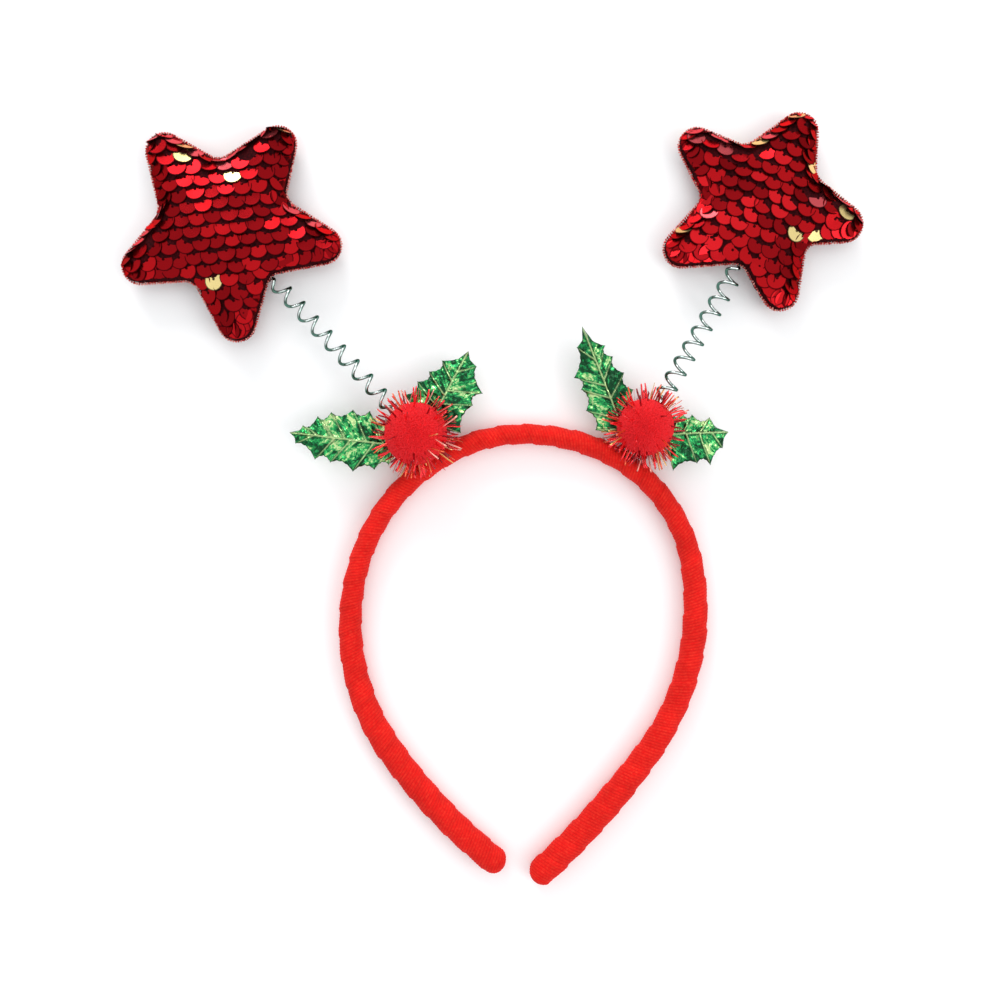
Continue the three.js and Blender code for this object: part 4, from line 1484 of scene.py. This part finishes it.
def tuft_tree():
    """Stands shapes all over a core, with more of them near its rim where that is asked for."""
    tree, given = new_tree(
        "pompom_tufts",
        {
            "Shape": "Object",
            "Density": "Float",
            "Rim Only": "Float",
            "Splay": "Float",
            "Shortest": "Float",
            "Longest": "Float",
            "Keep Core": "Bool",
            "Seed": "Int",
        },
    )
    normal = parted(tree, add(tree, "GeometryNodeInputNormal").outputs[0])
    rim = mapped(tree, normal["Z"], 0.2, 0.95, 1.0, 0.0)
    inputs = {0: given["Rim Only"], 2: 1.0, 3: rim}
    thinned = add(tree, "ShaderNodeMix", {"data_type": "FLOAT"}, inputs).outputs[0]
    spread = add(
        tree,
        "GeometryNodeDistributePointsOnFaces",
        {"distribute_method": "RANDOM"},
        {
            "Mesh": given["Geometry"],
            "Density": maths(tree, "MULTIPLY", thinned, given["Density"]),
            "Seed": given["Seed"],
        },
    )
    lean = chance(tree, given["Seed"], "FLOAT_VECTOR", Min=(-1.0,) * 3, Max=(1.0,) * 3)
    way = vectors(tree, "ADD", spread.outputs["Normal"], scaled(tree, lean, given["Splay"]))
    stood = add(tree, "FunctionNodeAlignRotationToVector", {"axis": "Z"}, {"Vector": way})
    twist = chance(tree, given["Seed"], "FLOAT_VECTOR", Min=(0.0,) * 3, Max=(0.0, 0.0, 2 * math.pi))
    turned = add(
        tree,
        "FunctionNodeRotateRotation",
        {"rotation_space": "LOCAL"},
        {"Rotation": stood.outputs[0], "Rotate By": twist},
    )
    long = chance(tree, given["Seed"], Min=given["Shortest"], Max=given["Longest"])
    tufts = add(
        tree,
        "GeometryNodeInstanceOnPoints",
        inputs={
            "Points": stored(tree, spread.outputs["Points"], "glint", chance(tree, given["Seed"])),
            "Instance": object_shape(tree, given["Shape"]),
            "Rotation": turned.outputs[0],
            "Scale": combined(tree, X=1.0, Y=1.0, Z=long),
        },
    )
    inputs = {"Switch": given["Keep Core"], "True": given["Geometry"]}
    core = add(tree, "GeometryNodeSwitch", {"input_type": "GEOMETRY"}, inputs)
    whole = joined(tree, core.outputs[0], tufts.outputs[0])
    real = add(tree, "GeometryNodeRealizeInstances", inputs={0: whole})
    finish_tree(tree, above_table(tree, real.outputs[0]), given["Material"])
    return tree


class HEADBAND_OT_pompoms(bpy.types.Operator):
    """Makes the two pompoms, their pile and their tinsel"""

    bl_idname = "headband.pompoms"
    bl_label = "Tie the Pompoms"

    def execute(self, context):
        sizes = context.scene.headband_pompoms
        pile, foil = cut_pile(sizes), tinsel_foil(sizes)
        strand, strip = strand_shape(sizes), strip_shape(sizes)
        tree = tuft_tree()
        plans = (
            ("pile", strand, sizes.strands, 0.0, 0.1, 0.75, True, pile),
            ("tinsel", strip, sizes.strips * STRIPS_SOWN, 1.0, 0.3, 0.65, False, foil),
        )
        for place, side in enumerate(SIDES):
            radius = POMPOMS[side][0] * MM - sizes.pile * 0.6
            middle = Matrix.Translation(placed(pompom_middle(side)))
            for label, shape, number, rim, splay, shortest, keep, material in plans:
                ball = bmesh.new()
                bmesh.ops.create_icosphere(ball, subdivisions=4, radius=radius, matrix=middle)
                made = bpy.data.meshes.new(f"{side}_pompom_{label}")
                ball.to_mesh(made)
                ball.free()
                tuft = show(made.name, made)
                inputs = {
                    "Shape": shape,
                    "Density": number / (4 * math.pi * radius**2),
                    "Rim Only": rim,
                    "Splay": splay,
                    "Shortest": shortest,
                    "Longest": 1.15,
                    "Keep Core": keep,
                    "Seed": 5 + place,
                    "Material": material,
                }
                run_tree(tuft, tree, inputs)
                declare(tuft, side + "_pompom")
        drop(strand)
        drop(strip)
        return {"FINISHED"}


# Leaves


LEAF_TOP = 11.6
LEAF_STEPS_PER_SPINE = 14
LEAF_COLUMNS = 16
VEIN_REACH = 0.42
# How fine the foil's creases are across the side veins and along them. They are drawn out
# along the veins, and the step keeps the two halves of a leaf from having the same ones.
STRIKE_SHARE, RUN_SHARE = 0.7, 0.28
STRIKE_STEP = 40


def leaf_half_width(spines, along):
    """Half width of a leaf at a share of its length, dipping between the spines."""
    rows = [(0.0, LEAF_STEM_WIDTH / 2 / LEAF_WIDTH), *spines, (1.0, 0.0)]
    for place in range(1, len(rows)):
        (start, low), (end, high) = rows[place - 1], rows[place]
        if along <= end:
            t = (along - start) / (end - start)
            straight = (low + (high - low) * t) * LEAF_WIDTH
            dip = 0.0 if place == 1 else 2.2 * math.sin(math.pi * t) ** 0.8
            ragged = 0.35 * math.sin(4 * math.pi * t) ** 2 * math.sin(math.pi * t)
            return max(straight - dip + ragged, straight / 2)
    return 0.0


def vein_rise(along, across, reach, spines):
    """How strongly a vein runs under a point, from 0 to 1. Veins run forward to the spines."""
    strongest = math.exp(-((across / 0.45) ** 2))
    for spine, out in spines:
        root = Vector((max(spine - 0.17, 0.02) * reach, 0.0))
        line = Vector((spine * reach, out * LEAF_WIDTH)) - root
        spot = Vector((along, across)) - root
        t = max(0.0, min(1.0, spot.dot(line) / line.length_squared))
        gap = (spot - line * t).length
        strongest = max(strongest, math.exp(-((gap / VEIN_REACH) ** 2)) * (1 - 0.35 * t))
    return strongest


def leaf_rows(name, sizes):
    """The top of a leaf along its own midrib: each point with its vein, rim, strike and run."""
    _, turn, reach, left, right = LEAVES[name]
    seed = Vector((len(name) * 3.7, turn * 0.61, 0))
    crumpled = sizes.crumple / MM
    stops = sorted({0.0, 1.0, *(spine for spine, _ in left), *(spine for spine, _ in right)})
    stations = []
    for start, end in zip(stops, stops[1:]):
        steps = max(4, round(LEAF_STEPS_PER_SPINE * (end - start) * 7))
        stations.extend(start + (end - start) * step / steps for step in range(steps))
    rows = []
    for along in stations:
        for column in range(-LEAF_COLUMNS, LEAF_COLUMNS + 1):
            spines = left if column > 0 else right
            half = leaf_half_width(spines, along)
            share_out = abs(column) / LEAF_COLUMNS
            across = half * share_out
            place = Vector((along * reach, math.copysign(across, column), 0.0))
            vein = vein_rise(place.x, across, reach, spines)
            fold = sizes.midrib / MM * math.sqrt(max(0.0, math.sin(math.pi * along))) * (1 - share_out)
            crumple = crumpled * noise.noise(place * 0.42 + seed)
            crumple += 0.45 * crumpled * noise.noise(place * 1.3 + seed)
            place.z = LEAF_TOP + max(fold + sizes.vein / MM * (vein - 0.25) + crumple, -0.8)
            rim = max(0.0, 1 - (half - across) / 0.55)
            strike = (place.x - across + math.copysign(STRIKE_STEP, column)) * STRIKE_SHARE * MM
            rows.append((place, vein, rim, strike, (place.x + across) * RUN_SHARE * MM))
    tip = Vector((reach, 0.0, LEAF_TOP))
    rows.append((tip, 1.0, 1.0, reach * STRIKE_SHARE * MM, reach * RUN_SHARE * MM))
    return rows, len(stations)


def leaf_faces(stations, number):
    """The faces of a leaf's top, underside and edge. The tip is the last of the top's points."""
    wide = 2 * LEAF_COLUMNS + 1
    tip = number - 1
    faces = []
    for row in range(stations - 1):
        for a in range(row * wide, row * wide + wide - 1):
            faces.append((a, a + wide, a + wide + 1, a + 1))
            faces.append((a + number, a + 1 + number, a + wide + 1 + number, a + wide + number))
        end = (row + 1) * wide
        for a, b in ((row * wide, end), (end + wide - 1, end - 1)):
            faces.append((a, a + number, b + number, b))
    last = (stations - 1) * wide
    for column in range(wide - 1):
        faces.append((last + column, tip, last + column + 1))
        faces.append((last + column + number, last + column + 1 + number, tip + number))
        faces.append((column, column + 1, column + 1 + number, column + number))
    faces.append((last, last + number, tip + number, tip))
    faces.append((tip, tip + number, last + wide - 1 + number, last + wide - 1))
    return faces


def leaf_piece(name, sizes, foil):
    """A pressed foil leaf, folded up along its midrib, with raised veins and crumpled panels."""
    rows, stations = leaf_rows(name, sizes)
    tops, veins, rims, strikes, runs = zip(*rows)
    turn = math.radians(LEAVES[name][1])
    stem = leaf_stem(name)
    points = []
    for top in tops:
        x = top.x * math.cos(turn) - top.y * math.sin(turn)
        y = top.x * math.sin(turn) + top.y * math.cos(turn)
        points.append(placed((stem.x + x, stem.y + y, top.z)))
    points += [point - Vector((0, 0, sizes.thickness)) for point in points]
    leaf = new_piece(name + "_foil", points, leaf_faces(stations, len(rows)), material=foil)
    store(leaf, vein=veins * 2, rim=rims * 2, strike=strikes * 2, run=runs * 2)
    shade_smooth(leaf)
    return leaf


class HEADBAND_OT_leaves(bpy.types.Operator):
    """Presses the four holly leaves"""

    bl_idname = "headband.leaves"
    bl_label = "Press the Leaves"

    def execute(self, context):
        sizes = context.scene.headband_leaves
        foil = embossed_foil(sizes)
        for name in LEAVES:
            declare(leaf_piece(name, sizes, foil), name)
        return {"FINISHED"}


# The stage


FLOOR_REACH = 3.0
LAMPS = (
    ("key_light", (-0.45, 1.45, 0.58), 0.8, 12.0),
    ("fill_light", (1.2, -0.5, 1.1), 1.0, 7.0),
)
CAMERA_AIM = (-9.12, -25.2, 0.0)


class HEADBAND_OT_stage(bpy.types.Operator):
    """Lays the floor and sets the lights and the camera"""

    bl_idname = "headband.stage"
    bl_label = "Set the Stage"

    def execute(self, context):
        scene = context.scene
        sizes = scene.headband_stage
        material, tree = new_material("pale_floor")
        paint = {"Base Color": opaque(sizes.colour), "Roughness": 0.9, "Specular IOR Level": 0.1}
        finish_material(tree, paint)
        corners = [(x * FLOOR_REACH, y * FLOOR_REACH, 0) for x, y in ((-1, -1), (1, -1), (1, 1), (-1, 1))]
        new_piece("floor", corners, [(0, 1, 2, 3)], material=material)
        for name, place, size, power in LAMPS:
            lamp = bpy.data.lights.new(name, "AREA")
            lamp.shape = "SQUARE"
            lamp.size = size
            lamp.energy = power
            shown = show(name, lamp)
            shown.location = place
            shown.rotation_euler = (-Vector(place)).to_track_quat("-Z", "Y").to_euler()
        world = bpy.data.worlds.new("soft_studio")
        world.use_nodes = True
        tree = world.node_tree
        tree.nodes.clear()
        # The room is brighter overhead than at its walls.
        height = parted(tree, add(tree, "ShaderNodeTexCoord").outputs["Generated"])["Z"]
        glow = mapped(tree, height, start=sizes.walls, end=sizes.overhead)
        inputs = {"Color": (0.97, 0.985, 1.0, 1.0), "Strength": glow}
        sky = add(tree, "ShaderNodeBackground", inputs=inputs)
        add(tree, "ShaderNodeOutputWorld", inputs={"Surface": sky.outputs[0]})
        scene.world = world
        scene.view_settings.view_transform = "Standard"
        lens = bpy.data.cameras.new("photo_camera")
        lens.lens = sizes.lens
        lens.sensor_width = 36
        aim = placed(CAMERA_AIM)
        scene.camera = show("photo_camera", lens)
        scene.camera.location = (aim.x, aim.y, sizes.camera_height)
        return {"FINISHED"}


PARTS = (
    ("headband_band", HeadbandBandSizes, HEADBAND_OT_band),
    ("headband_springs", HeadbandSpringSizes, HEADBAND_OT_springs),
    ("headband_stars", HeadbandStarSizes, HEADBAND_OT_stars),
    ("headband_pompoms", HeadbandPompomSizes, HEADBAND_OT_pompoms),
    ("headband_leaves", HeadbandLeafSizes, HEADBAND_OT_leaves),
    ("headband_stage", HeadbandStageSizes, HEADBAND_OT_stage),
)


class HEADBAND_PT_sizes(bpy.types.Panel):
    """Sizes and colours of the headband, and a button for each of its pieces"""

    bl_idname = "HEADBAND_PT_sizes"
    bl_label = "Christmas Headband"
    bl_space_type = "VIEW_3D"
    bl_region_type = "UI"
    bl_category = "Headband"

    def draw(self, context):
        for name, group, operator in PARTS:
            box = self.layout.box()
            sizes = getattr(context.scene, name)
            for label in group.__annotations__:
                box.prop(sizes, label)
            box.operator(operator.bl_idname)


def register():
    for name, group, operator in PARTS:
        bpy.utils.register_class(group)
        bpy.utils.register_class(operator)
        setattr(bpy.types.Scene, name, bpy.props.PointerProperty(type=group))
    bpy.utils.register_class(HEADBAND_PT_sizes)


def unregister():
    bpy.utils.unregister_class(HEADBAND_PT_sizes)
    for name, group, operator in reversed(PARTS):
        delattr(bpy.types.Scene, name)
        bpy.utils.unregister_class(operator)
        bpy.utils.unregister_class(group)


def main():
    register()
    bpy.ops.headband.band()
    bpy.ops.headband.springs()
    bpy.ops.headband.stars()
    bpy.ops.headband.pompoms()
    bpy.ops.headband.leaves()
    bpy.ops.headband.stage()


if __name__ == "__main__":
    main()
